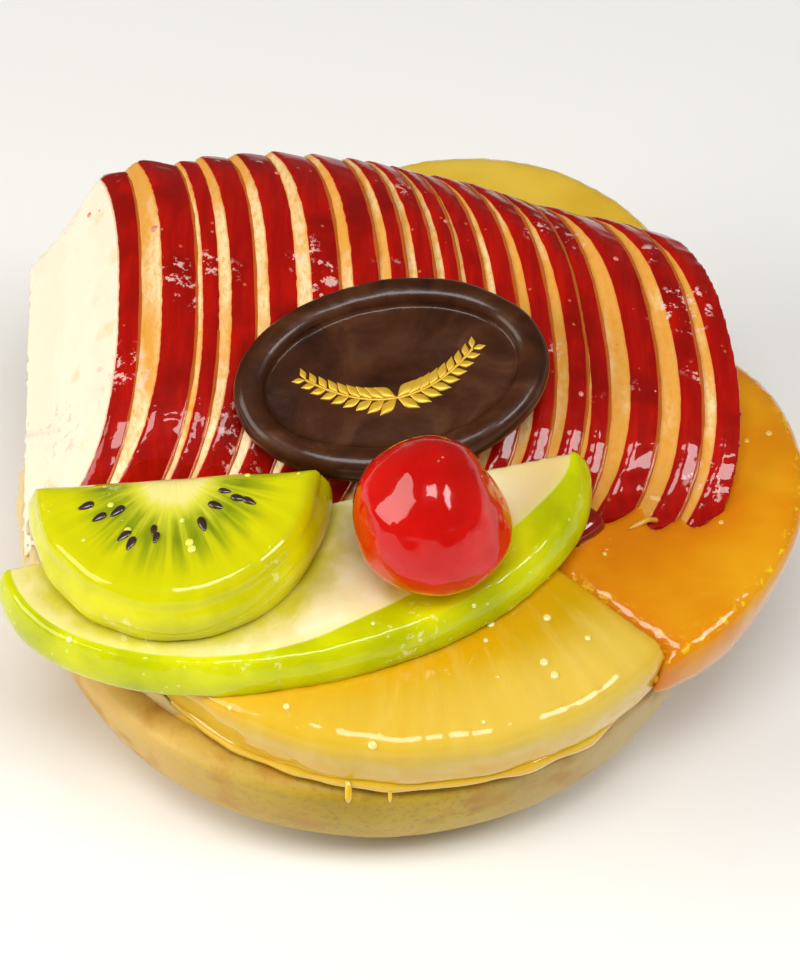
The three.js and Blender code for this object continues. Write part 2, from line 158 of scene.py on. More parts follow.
def setColour(socket, colour):
    if isinstance(colour, str):
        socket.default_value = linearColour(colour)
    else:
        join(colour, socket)


def colours(value, steps):
    ramp = addNode("ShaderNodeValToRGB", None, {"Fac": value})
    elements = ramp.color_ramp.elements
    while len(elements) < len(steps):
        elements.new(0.5)
    for element, (position, colour) in zip(elements, steps):
        element.position = position
        element.color = linearColour(colour)
    return ramp.outputs["Color"]


def bumpFrom(height, distance, normal=None):
    inputs = {"Height": height, "Distance": distance * mm, "Strength": 1.0}
    if normal:
        inputs["Normal"] = normal
    return addNode("ShaderNodeBump", None, inputs).outputs["Normal"]


# Starts a material: its roughness and index, how it scatters light (share, depth, reach of red, green and
# blue), and any other sockets.
def newMaterial(name, roughness, ior=1.5, scatter=(), others=None):
    material = bpy.data.materials.new(name)
    material.use_nodes = True
    bench["tree"] = material.node_tree
    shader = material.node_tree.nodes["Principled BSDF"]
    inside = zip(("Subsurface Weight", "Subsurface Scale", "Subsurface Radius"), scatter)
    for socket, value in {"Roughness": roughness, "IOR": ior, **dict(inside), **(others or {})}.items():
        shader.inputs[socket].default_value = value
    return material, shader.inputs


def dress(sockets, colour, normal=None):
    setColour(sockets["Base Color"], colour)
    if normal:
        join(normal, sockets["Normal"])


# Fruit glaze: a brushed-on clear pectin gel. It dries to a thick wet coat that lies in soft waves,
# with small beads where the brush left too much.
glaze = {
    "ior": 1.38,
    "roughness": 0.03,
    "shineUnder": 0.05,  # little, because the gel has nearly the index of the wet fruit under it
    "waveSize": 5.0,
    "waveHeight": 0.35,
    "beadSize": 2.6,
    "beadHeight": 0.12,
    "beadEdge": (0.26, 0.1),  # share of the spacing at which a bead starts and is full
    "beadCover": (0.62, 0.75),  # these pairs are the edges of a noise that says where there is any
    "patchSize": 9.0,
    # size, edges, spread and cover of the painted highlight patches
    "glintSize": 1.7,
    "glintEdge": (0.55, 0.6),
    "glintSpread": 12.0,
    "glintCover": (0.62, 0.68),
}


def brushedGlaze(material, sockets, weight=1.0, waves=1.0):
    for name, value in (("Coat Weight", weight), ("Coat Roughness", glaze["roughness"]),
                        ("Coat IOR", glaze["ior"]), ("Specular IOR Level", glaze["shineUnder"])):
        sockets[name].default_value = value
    rolling = bumpFrom(cloud(glaze["waveSize"], detail=1.5), glaze["waveHeight"] * waves)
    patches = fade(cloud(glaze["patchSize"], detail=0), *glaze["beadCover"])
    dots = times(fade(scattered(glaze["beadSize"]), *glaze["beadEdge"]), patches)
    join(bumpFrom(dots, glaze["beadHeight"], rolling), sockets["Coat Normal"])
    return material


# Painted highlights: small ragged whitish patches painted into the colour, where the gel would catch the
# lamps.
def paintedGlints(colour, tint, amount=0.75):
    grains = cloud(glaze["glintSize"], detail=4, roughness=0.7)
    zones = cloud(glaze["glintSpread"], detail=1)
    cover = times(fade(zones, *glaze["glintCover"]), fade(grains, *glaze["glintEdge"]))
    return blend(times(cover, amount), colour, tint)


# Gel that has run together where pieces meet, and painted shade there: 1 in the nook and 0 away from it.
def gelAndShadeInNooks(reach):
    ragged = times(cloud(3), reach * 0.9)
    return fade(plus(stored("nook"), ragged), reach * 1.3, reach * 0.3)


# Meshes

def addObject(name, data):
    added = bpy.data.objects.new(name, data)
    bpy.context.scene.collection.objects.link(added)
    return added


def meshObject(name, vertices, faces=(), edges=()):
    mesh = bpy.data.meshes.new(name)
    mesh.from_pydata([tuple(v) for v in vertices], edges, faces)
    mesh.update()
    return addObject(name, mesh)


# The node's own mesh is loose triangles, so a copy is joined up before anything is done to it.
def copyOfNode(nodeName, pieceName):
    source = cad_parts[nodeName].data
    form = bmesh.new()
    form.from_mesh(source)
    bmesh.ops.remove_doubles(form, verts=form.verts, dist=0.002 * mm)
    bmesh.ops.dissolve_degenerate(form, edges=form.edges, dist=0.001 * mm)
    mesh = bpy.data.meshes.new(pieceName)
    form.to_mesh(mesh)
    form.free()
    mesh.materials.clear()
    return addObject(pieceName, mesh)


def applyModifiers(piece):
    bpy.context.view_layer.update()
    evaluated = piece.evaluated_get(bpy.context.evaluated_depsgraph_get())
    mesh = bpy.data.meshes.new_from_object(evaluated)
    piece.modifiers.clear()
    old = piece.data
    piece.data = mesh
    bpy.data.meshes.remove(old)
    return piece


# Turns any closed form into an even skin of small quads, then rounds its edges off.
def evenSkin(piece, values):
    remesh = piece.modifiers.new("skin", "REMESH")
    remesh.mode = "VOXEL"
    remesh.voxel_size = values["voxel"] * mm
    soften = piece.modifiers.new("soften", "SMOOTH")
    soften.factor = 0.5
    soften.iterations = values["rounds"]
    return applyModifiers(piece)


def readVectors(rows, name):
    flat = np.empty(len(rows) * 3, np.float32)
    rows.foreach_get(name, flat)
    return flat.reshape(-1, 3).astype(float)


def pointsOf(piece):
    return readVectors(piece.data.vertices, "co")


def normalsOf(piece):
    return readVectors(piece.data.vertex_normals, "vector")


def setPoints(piece, points):
    piece.data.vertices.foreach_set("co", np.asarray(points, np.float32).ravel())
    piece.data.update()


# Moves every vertex along its normal by height(point in mm, normal), in mm.
def raise_(piece, height):
    points, normals = pointsOf(piece), normalsOf(piece)
    lift = np.array([height(Vector(p / mm), n) for p, n in zip(points, normals)])
    setPoints(piece, points + normals * (lift * mm)[:, None])


def lumps(point, size, seed=0.0):
    return noise.noise(Vector((point[0] / size + seed, point[1] / size, point[2] / size)))


# Swelling everywhere, plus layers of lumps, each with its height, size and seed; all in millimetres.
def unevenness(point, swelling, layers):
    return sum((height * lumps(point, size, seed) for height, size, seed in layers), swelling)


def roughen(piece, values):
    raise_(piece, lambda p, n: unevenness(p, values.get("plumpness", 0.0), values["lumps"]))


# Stores a number, or a vector of three, for each vertex.
def store(piece, name, values):
    values = np.asarray(values, np.float32)
    kind, field = ("FLOAT", "value") if values.ndim == 1 else ("FLOAT_VECTOR", "vector")
    piece.data.attributes.new(name, kind, "POINT").data.foreach_set(field, values.ravel())


# Points round the vertical, in metres; swell(angle) widens the ring in places.
def roundRing(wide, deep, height, count, swell=lambda angle: 1):
    ring = []
    for i in range(count):
        angle = 2 * math.pi * i / count
        wider = swell(angle)
        x, y = wide * wider * mm * math.cos(angle), deep * wider * mm * math.sin(angle)
        ring.append((x, y, height * mm))
    return ring


# Closed stacks of rings with the same number of points, each end closed by a fan.
def ringStacks(name, stacks):
    vertices, faces = [], []
    for rings in stacks:
        count, start = len(rings[0]), len(vertices)
        vertices += [p for ring in rings for p in ring]
        for level in range(len(rings) - 1):
            for i in range(count):
                a, b = start + level * count + i, start + level * count + (i + 1) % count
                faces.append((a, b, b + count, a + count))
        for first, backwards in ((start, True), (start + (len(rings) - 1) * count, False)):
            vertices.append(np.mean(vertices[first:first + count], axis=0))
            for i in range(count):
                a, b = first + i, first + (i + 1) % count
                faces.append((len(vertices) - 1, b, a) if backwards else (len(vertices) - 1, a, b))
    piece = meshObject(name, vertices, faces)
    form = bmesh.new()
    form.from_mesh(piece.data)
    bmesh.ops.remove_doubles(form, verts=form.verts, dist=0.001 * mm)
    bmesh.ops.recalc_face_normals(form, faces=form.faces)
    form.to_mesh(piece.data)
    form.free()
    return piece


# Where a flat piece lies: turned about the vertical, then tilted forwards and sideways.
def layingMatrix(values):
    turn = Matrix.Rotation(math.radians(values["turn"]), 4, "Z")
    forwards = Matrix.Rotation(math.radians(values["tilt"][0]), 4, "X")
    sideways = Matrix.Rotation(math.radians(values["tilt"][1]), 4, "Y")
    return Matrix.Translation(Vector(values["position"]) * mm) @ sideways @ forwards @ turn


def onPlace(points, matrix):
    turned = np.asarray(points) @ np.array(matrix.to_3x3()).T
    return turned + np.array(matrix.translation)


# No vertex leaves the box of the solids.
def keepInBox(piece):
    low, high = np.array(cadBox[0]), np.array(cadBox[1])
    setPoints(piece, np.clip(pointsOf(piece), low, high))


finished = []


def finishPiece(piece, material, nodes=()):
    keepInBox(piece)
    piece.data.materials.clear()
    piece.data.materials.append(material)
    piece.data.polygons.foreach_set("use_smooth", [True] * len(piece.data.polygons))
    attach(piece, "root")
    if nodes:
        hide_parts(*nodes)
    finished.append(piece)
    return piece


# One search tree for each node's solid, to find how near the next piece is.
def solidTree(nodeName):
    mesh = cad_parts[nodeName].data
    return BVHTree.FromPolygons([v.co for v in mesh.vertices], [tuple(p.vertices) for p in mesh.polygons])


trees = {name: solidTree(name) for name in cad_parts}
boxes = {name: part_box(name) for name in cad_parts}
nookReach = 5.0  # beyond this many millimetres a place counts as open


def neighboursOf(nodeName):
    low, high = boxes[nodeName]
    margin = Vector((nookReach,) * 3) * mm
    near = []
    for other, (otherLow, otherHigh) in boxes.items():
        apart = any(low[k] - margin[k] > otherHigh[k] or high[k] + margin[k] < otherLow[k] for k in range(3))
        if other != nodeName and not apart:
            near.append(other)
    return near


# Stores how far each vertex is from the nearest other piece, in millimetres.
def storeNooks(piece, nodeName):
    others = [trees[name] for name in neighboursOf(nodeName)]
    distances = []
    for p in pointsOf(piece):
        best = nookReach * mm
        for tree in others:
            found = tree.find_nearest(Vector(p), best)[3]
            if found is not None and found < best:
                best = found
        distances.append(best / mm)
    store(piece, "nook", distances)


# Pastry shell

shell = {
    "rimRound": 1.8,
    "wall": 6.2,
    "baseRadius": 33.0,
    "hollow": [(0.4, 11.3), (2, 6), (5, 4)],
    "around": 420,
    "pits": 26,
    "pitSizes": (0.5, 1.5),
    "pitHeights": (2.5, 19.5),
    "pitsBeyond": 41.5,  # from the middle, so that there are none on the inside
    "pitDepth": 0.25,
    "unevenness": 0.22,
    "lumps": [(0.75, 11, 0), (0.25, 3.2, 5)],  # share, size and seed of each layer
    "steps": (10, 40, 12),  # of the outline's base, side and rim
}


# Baked shortcrust: pale gold flour and butter dough, pressed into a tin. It is matt and fine-grained,
# darker where it touched the tin, with small brown pits where butter boiled out.
def bakedShortcrust():
    material, sockets = newMaterial("bakedShortcrust", 0.52, 1.45, (0.1, 1.2 * mm, (1.0, 0.6, 0.25)), {
        "Specular IOR Level": 0.3, "Coat Weight": 0.12, "Coat Roughness": 0.35,
    })
    broad = cloud(16)
    base = colours(broad, [(0.3, "#a68818"), (0.5, "#b69824"), (0.7, "#c4a636")])
    grain = cloud(0.9, detail=4, roughness=0.65)
    grained = blend(times(fade(grain, 0.48, 0.72), 0.55), base, "#946c1c")
    across = parted(objectPlace())[0]
    # Painted light: the left side is painted lighter and more golden where the left lamp falls, and the
    # right side paler where the right lamp falls.
    leftShare = times(fade(across, -4 * mm, -38 * mm), 0.75)
    paintedLitLeft = blend(leftShare, grained, "#deb668")
    rightShare = times(fade(across, 6 * mm, 38 * mm), 0.7)
    paintedLitRight = blend(rightShare, paintedLitLeft, "#cdb88c")
    browned = times(fade(cloud(9, detail=5), 0.5, 0.68), 0.65)
    toasted = blend(browned, paintedLitRight, "#b47c1e")
    pitted = blend(stored("pit"), toasted, "#9c6a2a")
    dress(sockets, pitted, bumpFrom(cloud(4), 0.2, bumpFrom(grain, 0.06)))
    return material


def shellProfile():
    low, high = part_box("tart_shell")
    height = (high.z - low.z) / mm
    rimRadius = (high.y - low.y) / mm / 2
    rimStart = height - shell["rimRound"]
    baseSteps, sideSteps, rimSteps = shell["steps"]
    profile = [(shell["baseRadius"] * k / baseSteps, 0.0) for k in range(1, baseSteps + 1)]
    for k in range(1, sideSteps + 1):
        angle = math.radians(90 * k / sideSteps)
        radius = shell["baseRadius"] + (rimRadius - shell["baseRadius"]) * math.sin(angle)
        profile.append((radius, rimStart - rimStart * math.cos(angle)))
    half = shell["wall"] / 2
    for k in range(1, rimSteps + 1):
        angle = math.radians(180 * k / rimSteps)
        height = rimStart + shell["rimRound"] * math.sin(angle)
        profile.append((rimRadius - half + half * math.cos(angle), height))
    inner = rimRadius - shell["wall"]
    deepest = shell["hollow"][-1][1]
    return profile + [(inner - inset, level) for inset, level in shell["hollow"]] + [(inner / 2, deepest)]


def bakeShell():
    rings = [roundRing(radius, radius, height, shell["around"]) for radius, height in shellProfile()]
    piece = ringStacks("baked_shell", [rings])
    randoms = np.random.default_rng(7)
    azimuths, heights, sizes = (randoms.uniform(*span, shell["pits"]) for span in (
        (0, 2 * math.pi), shell["pitHeights"], shell["pitSizes"],
    ))
    points = pointsOf(piece) / mm
    normals = normalsOf(piece)
    radii = np.hypot(points[:, 0], points[:, 1])
    around = np.arctan2(points[:, 1], points[:, 0])
    pit = np.zeros(len(points))
    for azimuth, height, size in zip(azimuths, heights, sizes):
        turn = (around - azimuth + math.pi) % (2 * math.pi) - math.pi
        away = np.hypot(turn * radii * 0.7, points[:, 2] - height)
        outside = radii > shell["pitsBeyond"]
        pit = np.maximum(pit, np.where(outside, np.exp(-(away / size) ** 2), 0))
    waves = np.array([unevenness(p, 0.0, shell["lumps"]) for p in points])
    upright = np.clip(points[:, 2] / 1.5, 0, 1)
    lift = (waves - 0.5) * shell["unevenness"] * upright - pit * shell["pitDepth"]
    setPoints(piece, (points + normals * lift[:, None]) * mm)
    store(piece, "pit", pit * 0.5)
    return finishPiece(piece, bakedShortcrust(), ["tart_shell"])


bakeShell()
print("shell baked")


# Custard cream

cream = {"voxel": 0.7, "rounds": 6, "lumps": [(0.5, 5, 0), (0.15, 1.8, 3)], "glaze": 0.7}


# Custard cream piped into the shell: smooth, thick and nearly white, wet with clear gel.
def custardCream():
    material, sockets = newMaterial("custardCream", 0.35, 1.42, (0.4, 2.5 * mm, (1.0, 0.8, 0.5)))
    milky = blend(cloud(6), "#e2cc94", "#d2b672")
    gel = fade(cloud(9, detail=1), 0.56, 0.68)
    dress(sockets, blend(times(gel, 0.55), milky, "#e8b860"), bumpFrom(cloud(2.5), 0.2))
    return brushedGlaze(material, sockets, cream["glaze"])


def fillCream():
    piece = evenSkin(copyOfNode("cream", "custard_filling"), cream)
    roughen(piece, cream)
    return finishPiece(piece, custardCream(), ["cream"])


fillCream()
print("cream filled")


# Red apple slices

redSlices = {
    "voxel": 0.38,
    "rounds": 4,
    "wrap": 0.7,  # how much further the skin reaches over the cut face on the right
    "wrapSpan": (-4.0, 14.0),
    "swelling": 0.26,  # closes the gap that the solids keep, as the glaze does
    "axis": (14.0, 20.0),  # back from the middle and up, the line that all the slices arch over
    "outside": 80.0,
    "columnStep": 1.0,
    "turnStep": 2.0,
    "evening": 4.0,  # over how much of the fan's length its surface is evened
    "stepLeft": 0.35,  # share of the step from slice to slice that the glaze doesn't even out
    "evenDepth": 4.0,
    "waves": (0.1, 7),  # height and size
    "skinDepth": 0.5,
    "blush": 0.9,
}


# Red dessert apple, cut thin with a sharp knife. The skin is a deep waxy red with fine streaks and pale
# pores, the flesh cream and wet, and gel turns it amber where it has run in between two slices, deeper there
# as painted shade. The first slice's left face is painted paler where it faces the left lamp, and small
# whitish patches are painted highlights.
def redAppleSlice():
    material, sockets = newMaterial("redAppleSlice", 0.38, 1.38, (0.15, 0.9 * mm, (1.0, 0.45, 0.2)))
    streaks = cloud(1.6, objectPlace((1, 0.12, 0.35)), detail=4, roughness=0.6)
    patches = cloud(9)
    skin = blend(fade(streaks, 0.35, 0.7), "#9c0a03", "#b41204")
    skin = blend(fade(patches, 0.45, 0.7), skin, "#8c0a03")
    skin = blend(times(fade(scattered(3.2), 0.1, 0.04), 0.4), skin, "#dd9c5a")
    # Painted light: the first slice's left face is painted paler the more it faces left, towards the left
    # lamp; it also has none of the sand and amber of the covered faces.
    openAndLit = stored("openLitFace")
    covered = minus(1.0, openAndLit)
    grains = cloud(0.7, objectPlace((1, 0.45, 1)), roughness=0.65)
    sandy = times(fade(grains, 0.4, 0.7), covered)
    flesh = blend(sandy, blend(openAndLit, "#f0d6a0", "#f5ead0"), "#e0b268")
    rightwards, backwards, _ = parted(objectPlace())
    juice = cloud(6, objectPlace((1, 0.35, 0.6)))
    juice = plus(juice, times(fade(backwards, 20 * mm, 45 * mm), 0.14))
    juice = plus(juice, times(fade(rightwards, 4 * mm, 30 * mm), 0.18))
    deeperToned = fade(juice, 0.46, 0.68)
    # Amber where gel has run in between the slices, and deeper near the next slice as painted shade.
    amber = times(calc("MAXIMUM", deeperToned, gelAndShadeInNooks(1.5)), 0.85)
    flesh = blend(times(amber, covered), flesh, "#e09828")
    drips = fade(cloud(7), 0.6, 0.72)
    flesh = blend(times(drips, times(openAndLit, 0.4)), flesh, "#e8c060")
    edge = stored("skinEdge")
    wobble = times(minus(cloud(2), 0.5), 0.25)
    ragged = plus(edge, wobble)
    bled = fade(ragged, redSlices["blush"], redSlices["skinDepth"])
    flesh = blend(times(bled, 0.5), flesh, "#e07a34")
    cover = fade(ragged, redSlices["skinDepth"], redSlices["skinDepth"] - 0.12)
    # Small pinkish-white patches of painted highlight over skin and flesh.
    dress(sockets, paintedGlints(blend(cover, flesh, skin), "#eec8bc"), bumpFrom(grains, 0.04))
    return brushedGlaze(material, sockets)


# The face with the largest flat area gives the direction across a slice.
def acrossSlice(nodeName):
    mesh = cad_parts[nodeName].data
    areas = {}
    for polygon in mesh.polygons:
        key = tuple(round(c, 2) for c in polygon.normal)
        total, normal = areas.get(key, (0.0, Vector()))
        areas[key] = (total + polygon.area, normal + polygon.normal * polygon.area)
    normals = sorted(areas.values(), key=lambda entry: -entry[0])
    direction = normals[0][1].normalized()
    return -direction if direction.x < 0 else direction


# In the plane of the cut, the skin is the upper side of the outline; everything is in millimetres.
def skinOutline(points, across):
    along = Vector((-across.y, across.x, 0)).normalized()
    upwards = across.cross(along).normalized()
    if upwards.z < 0:
        upwards = -upwards
    flat = np.stack([points @ np.array(along), points @ np.array(upwards)], 1) / mm
    order = flat[np.lexsort((flat[:, 1], flat[:, 0]))]
    hull = []
    for p in order:
        while len(hull) > 1 and turnOf(hull[-2], hull[-1], p) >= 0:
            hull.pop()
        hull.append(p)
    return flat, np.array(hull)


def turnOf(a, b, c):
    return (b[0] - a[0]) * (c[1] - a[1]) - (b[1] - a[1]) * (c[0] - a[0])


def distanceToLine(flat, line):
    best = np.full(len(flat), 1e9)
    for a, b in zip(line[:-1], line[1:]):
        step = b - a
        share = np.clip(((flat - a) @ step) / max(step @ step, 1e-12), 0, 1)
        best = np.minimum(best, np.hypot(*(flat - a - share[:, None] * step).T))
    return best


# How far the fan's surface is from its axis, by place along the fan and by turn, with its steps blurred.
def surveyFan():
    low = min(boxes[name][0].x for name in sliceNames) / mm
    high = max(boxes[name][1].x for name in sliceNames) / mm
    columns = np.arange(low, high, redSlices["columnStep"])
    turns = np.radians(np.arange(0, 181, redSlices["turnStep"]))
    back, up = redSlices["axis"]
    outside = redSlices["outside"]
    reach = np.zeros((len(columns), len(turns)))
    for i, x in enumerate(columns):
        for j, turn in enumerate(turns):
            way = Vector((0, math.cos(turn), math.sin(turn)))
            start = (Vector((x, back, up)) + way * outside) * mm
            for name in sliceNames:
                gap = trees[name].ray_cast(start, -way, outside * mm)[3]
                if gap is not None:
                    reach[i, j] = max(reach[i, j], outside - gap / mm)
    apart = (columns[:, None] - columns[None, :]) / redSlices["evening"]
    weights = np.exp(-apart ** 2)
    return columns, turns, (weights @ reach) / np.maximum(weights @ (reach > 0), 1e-9)


# Moves points towards the blurred surface, so that the slices lie nearly flush under the glaze.
def evenedOut(points):
    columns, turns, reach = fanSurvey
    back, up = redSlices["axis"]
    y, z = points[:, 1] - back, points[:, 2] - up
    radius = np.maximum(np.hypot(y, z), 1e-6)
    turn = np.clip(np.arctan2(z, y), 0, math.pi)
    column = np.clip((points[:, 0] - columns[0]) / redSlices["columnStep"], 0, len(columns) - 1.001)
    row = np.clip(turn / (turns[1] - turns[0]), 0, len(turns) - 1.001)
    i, j = column.astype(int), row.astype(int)
    a, b = column - i, row - j
    target = ((1 - a) * (1 - b) * reach[i, j] + a * (1 - b) * reach[i + 1, j]
              + (1 - a) * b * reach[i, j + 1] + a * b * reach[i + 1, j + 1])
    over = radius - target
    depth, left = redSlices["evenDepth"], redSlices["stepLeft"]
    deeper = over + depth * (1 - left) * np.exp(np.minimum(over + depth, 0) / 6)
    moved = target + np.where(over > -depth, over * left, deeper)
    share = np.clip(z / 8, 0, 1)
    scale = 1 + (moved / radius - 1) * share
    return np.column_stack([points[:, 0], back + y * scale, up + z * scale])


def cutSlice(nodeName, material):
    piece = copyOfNode(nodeName, nodeName.replace("red_apple_slice", "apple_slice"))
    across = acrossSlice(nodeName)
    corners = pointsOf(piece)
    _, outline = skinOutline(corners, across)
    evenSkin(piece, redSlices)
    flat, _ = skinOutline(pointsOf(piece), across)
    wrapped = np.interp(pointsOf(piece)[:, 0] / mm, redSlices["wrapSpan"], (0, redSlices["wrap"]))
    edge = distanceToLine(flat, outline) - wrapped
    seed = float(sum(map(ord, nodeName[-2:])))
    waves = [(*redSlices["waves"], seed)]
    raise_(piece, lambda p, n: unevenness(p, redSlices["swelling"], waves))
    store(piece, "skinEdge", edge)
    facesOut = np.clip(-normalsOf(piece) @ np.array(across), 0, 1) ** 2
    # How far the first slice faces left, which its material paints paler as painted light.
    store(piece, "openLitFace", facesOut if nodeName == sliceNames[0] else facesOut * 0)
    storeNooks(piece, nodeName)
    setPoints(piece, evenedOut(pointsOf(piece) / mm) * mm)
    return finishPiece(piece, material, [nodeName])


# The line where the skin of a slice meets the face of the slice on its right, in millimetres.
def rightSkinLine(nodeName):
    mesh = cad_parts[nodeName].data
    corners = np.array([v.co for v in mesh.vertices])
    across = acrossSlice(nodeName)
    depths = corners @ np.array(across)
    onFace = corners[depths > depths.max() - 0.1 * mm]
    flat, outline = skinOutline(onFace, across)
    chosen = [onFace[np.argmin(np.hypot(*(flat - corner).T))] / mm for corner in outline]
    return evenedOut(np.array(chosen))


appleMaterial = redAppleSlice()
fanSurvey = surveyFan()
for nodeName in sliceNames:
    cutSlice(nodeName, appleMaterial)
print("apple slices cut")


# Peach slices

peaches = {
    "voxel": 0.5,
    "rounds": 90,
    "plumpness": 0.45,
    "lumps": [(0.3, 12, 0), (0.03, 2.6, 4)],
    "ridgeSlope": (0.75, 0.22),  # how far up the ridge faces, and how much that varies
    "ridgeFlakes": (0.16, 1.3),  # height and size
}


# Tinned peach: soft, wet flesh with faint fibres from the stone outwards. Light goes a long way into it.
def tinnedPeach(name, deep, plain, light):
    material, sockets = newMaterial(name, 0.3, 1.38, (0.3, 2.0 * mm, (1.0, 0.7, 0.12)))
    body = colours(cloud(15, detail=2), [(0.3, deep), (0.5, plain), (0.72, light)])
    fibres = cloud(1.4, objectPlace((0.25, 1, 1)), detail=4, roughness=0.6)
    streaked = blend(times(fade(fibres, 0.5, 0.75), 0.2), body, light)
    # Painted shade: deeper orange near other pieces, where they shade the peach.
    near = times(fade(stored("nook"), 4.5, 0.5), 0.8)
    deeperToned = blend(near, streaked, deep)
    # Painted highlights: small bright yellow flecks along the ridge, where its frayed edge would glint.
    paintedRidgeGlints = fade(cloud(1.1, roughness=0.6), 0.54, 0.62)
    bright = times(times(paintedRidgeGlints, stored("ridge")), 0.8)
    dress(sockets, blend(bright, deeperToned, "#f4d830"), bumpFrom(fibres, 0.05))
    return brushedGlaze(material, sockets)


# The upper edge of the skin side is a ridge, frayed where the knife left it.
def layPeach(nodeName, pieceName, material):
    piece = evenSkin(copyOfNode(nodeName, pieceName), peaches)

    def ridge(p, n):
        outwards = n[0] * p[0] + n[1] * p[1] > 0
        upwards, spread = peaches["ridgeSlope"]
        return max(0.0, 1 - abs(n[2] - upwards) / spread) if outwards else 0.0

    def peachRelief(p, n):
        height, size = peaches["ridgeFlakes"]
        flakes = height * ridge(p, n) * lumps(p, size, 8)
        return unevenness(p, peaches["plumpness"], peaches["lumps"]) + flakes

    store(piece, "ridge", [ridge(p, n) for p, n in zip(pointsOf(piece), normalsOf(piece))])
    raise_(piece, peachRelief)
    storeNooks(piece, nodeName)
    return finishPiece(piece, material, [nodeName])


deepPeach = tinnedPeach("tinnedPeach", "#d87c06", "#df900a", "#e8aa18")
layPeach("peach_slice_right", "right_peach", deepPeach)
# The back peach is a paler fruit, and its colours are painted lighter still to stand in for light from
# behind.
paleLitPeach = tinnedPeach("paleLitTinnedPeach", "#dcb030", "#e6c040", "#eccc5c")
layPeach("peach_slice_back", "back_peach", paleLitPeach)
print("peaches laid")


# Pineapple

pineapple = {
    "centre": (4.2, -6.4),
    "voxel": 0.45,
    "rounds": 26,
    "fibres": 85.0,  # round the whole ring
    "fibreHeight": 0.12,
    "plumpness": 0.12,
    "lumps": [(0.25, 9, 0)],
}


# Tinned pineapple: translucent yellow flesh in bundles of fibres that fan out from the core, paler where
# the bundles end near the skin side.
def tinnedPineapple():
    material, sockets = newMaterial("tinnedPineapple", 0.32, 1.38, (0.25, 2.0 * mm, (0.9, 0.9, 0.1)))
    angle, reach, height = parted(stored("ringPlace", "Vector"))
    fanned = combined(times(angle, pineapple["fibres"] / (2 * math.pi)), times(reach, 0.09), height)
    bundles = cloud(1 / mm, fanned, detail=4, roughness=0.6)
    body = colours(calc("DIVIDE", reach, 50.0), [
        (0.3, "#cc9600"), (0.56, "#cea000"), (0.7, "#d2a80e"), (0.78, "#dab22c"), (0.84, "#dcb42c"),
    ])
    # Painted sheen: the outer band is painted paler towards the right end, where the lamps' highlights lie.
    rightShare = times(fade(angle, -2.1, -1.0), fade(reach, 30.0, 37.0))
    body = blend(times(rightShare, 0.5), body, "#e8cc60")
    streaked = blend(times(fade(bundles, 0.48, 0.74), 0.3), body, "#e8cc68")
    deepened = blend(times(fade(bundles, 0.45, 0.25), 0.2), streaked, "#d89c10")
    # Deeper yellow patches on the lower part of the piece.
    lower = fade(height, 3.2, 2.8)
    clear = times(fade(cloud(8), 0.4, 0.52), lower)
    patched = blend(times(clear, 0.85), deepened, "#e0ac08")
    # Painted shade: deeper yellow near other pieces, where they shade it.
    near = times(fade(stored("nook"), 4.5, 0.8), 0.4)
    dress(sockets, blend(near, patched, "#e0a408"), bumpFrom(bundles, 0.1))
    return brushedGlaze(material, sockets)


def layPineapple():
    piece = copyOfNode("pineapple_segment", "pineapple_piece")
    evenSkin(piece, pineapple)
    centre = Vector((*pineapple["centre"], 0))

    def fibreRelief(p, n):
        angle = math.atan2(p.y - centre.y, p.x - centre.x)
        bundle = noise.noise(Vector((angle * pineapple["fibres"] / 4, 0.05 * (p - centre).length, 0)))
        swelling = pineapple["plumpness"] + pineapple["fibreHeight"] * bundle
        return unevenness(p, swelling, pineapple["lumps"])

    raise_(piece, fibreRelief)
    points = pointsOf(piece) / mm - np.array(centre)
    angles = np.arctan2(points[:, 1], points[:, 0])
    angles = np.where(angles > 1, angles - 2 * math.pi, angles)
    reach = np.hypot(points[:, 0], points[:, 1])
    store(piece, "ringPlace", np.stack([angles, reach, points[:, 2] / 9], 1))
    storeNooks(piece, "pineapple_segment")
    return finishPiece(piece, tinnedPineapple(), ["pineapple_segment"])


layPineapple()
print("pineapple laid")


# Green apple

greenApple = {
    "halfLength": 39.0,
    "depth": 23.4,
    "thickness": 5.6,
    "position": (-10.8, -14.9, 35),
    "tilt": (5, -5),
    "turn": 10.5,
    "voxel": 0.4,
    "rounds": 5,
    "plumpness": 0.12,
    "lumps": [(0.25, 8, 0), (0.05, 2, 3)],
    "flatness": 0.35,
    "flatFrom": -0.15,
    "flatBlend": 0.15,
    "skinDepth": 0.7,
}


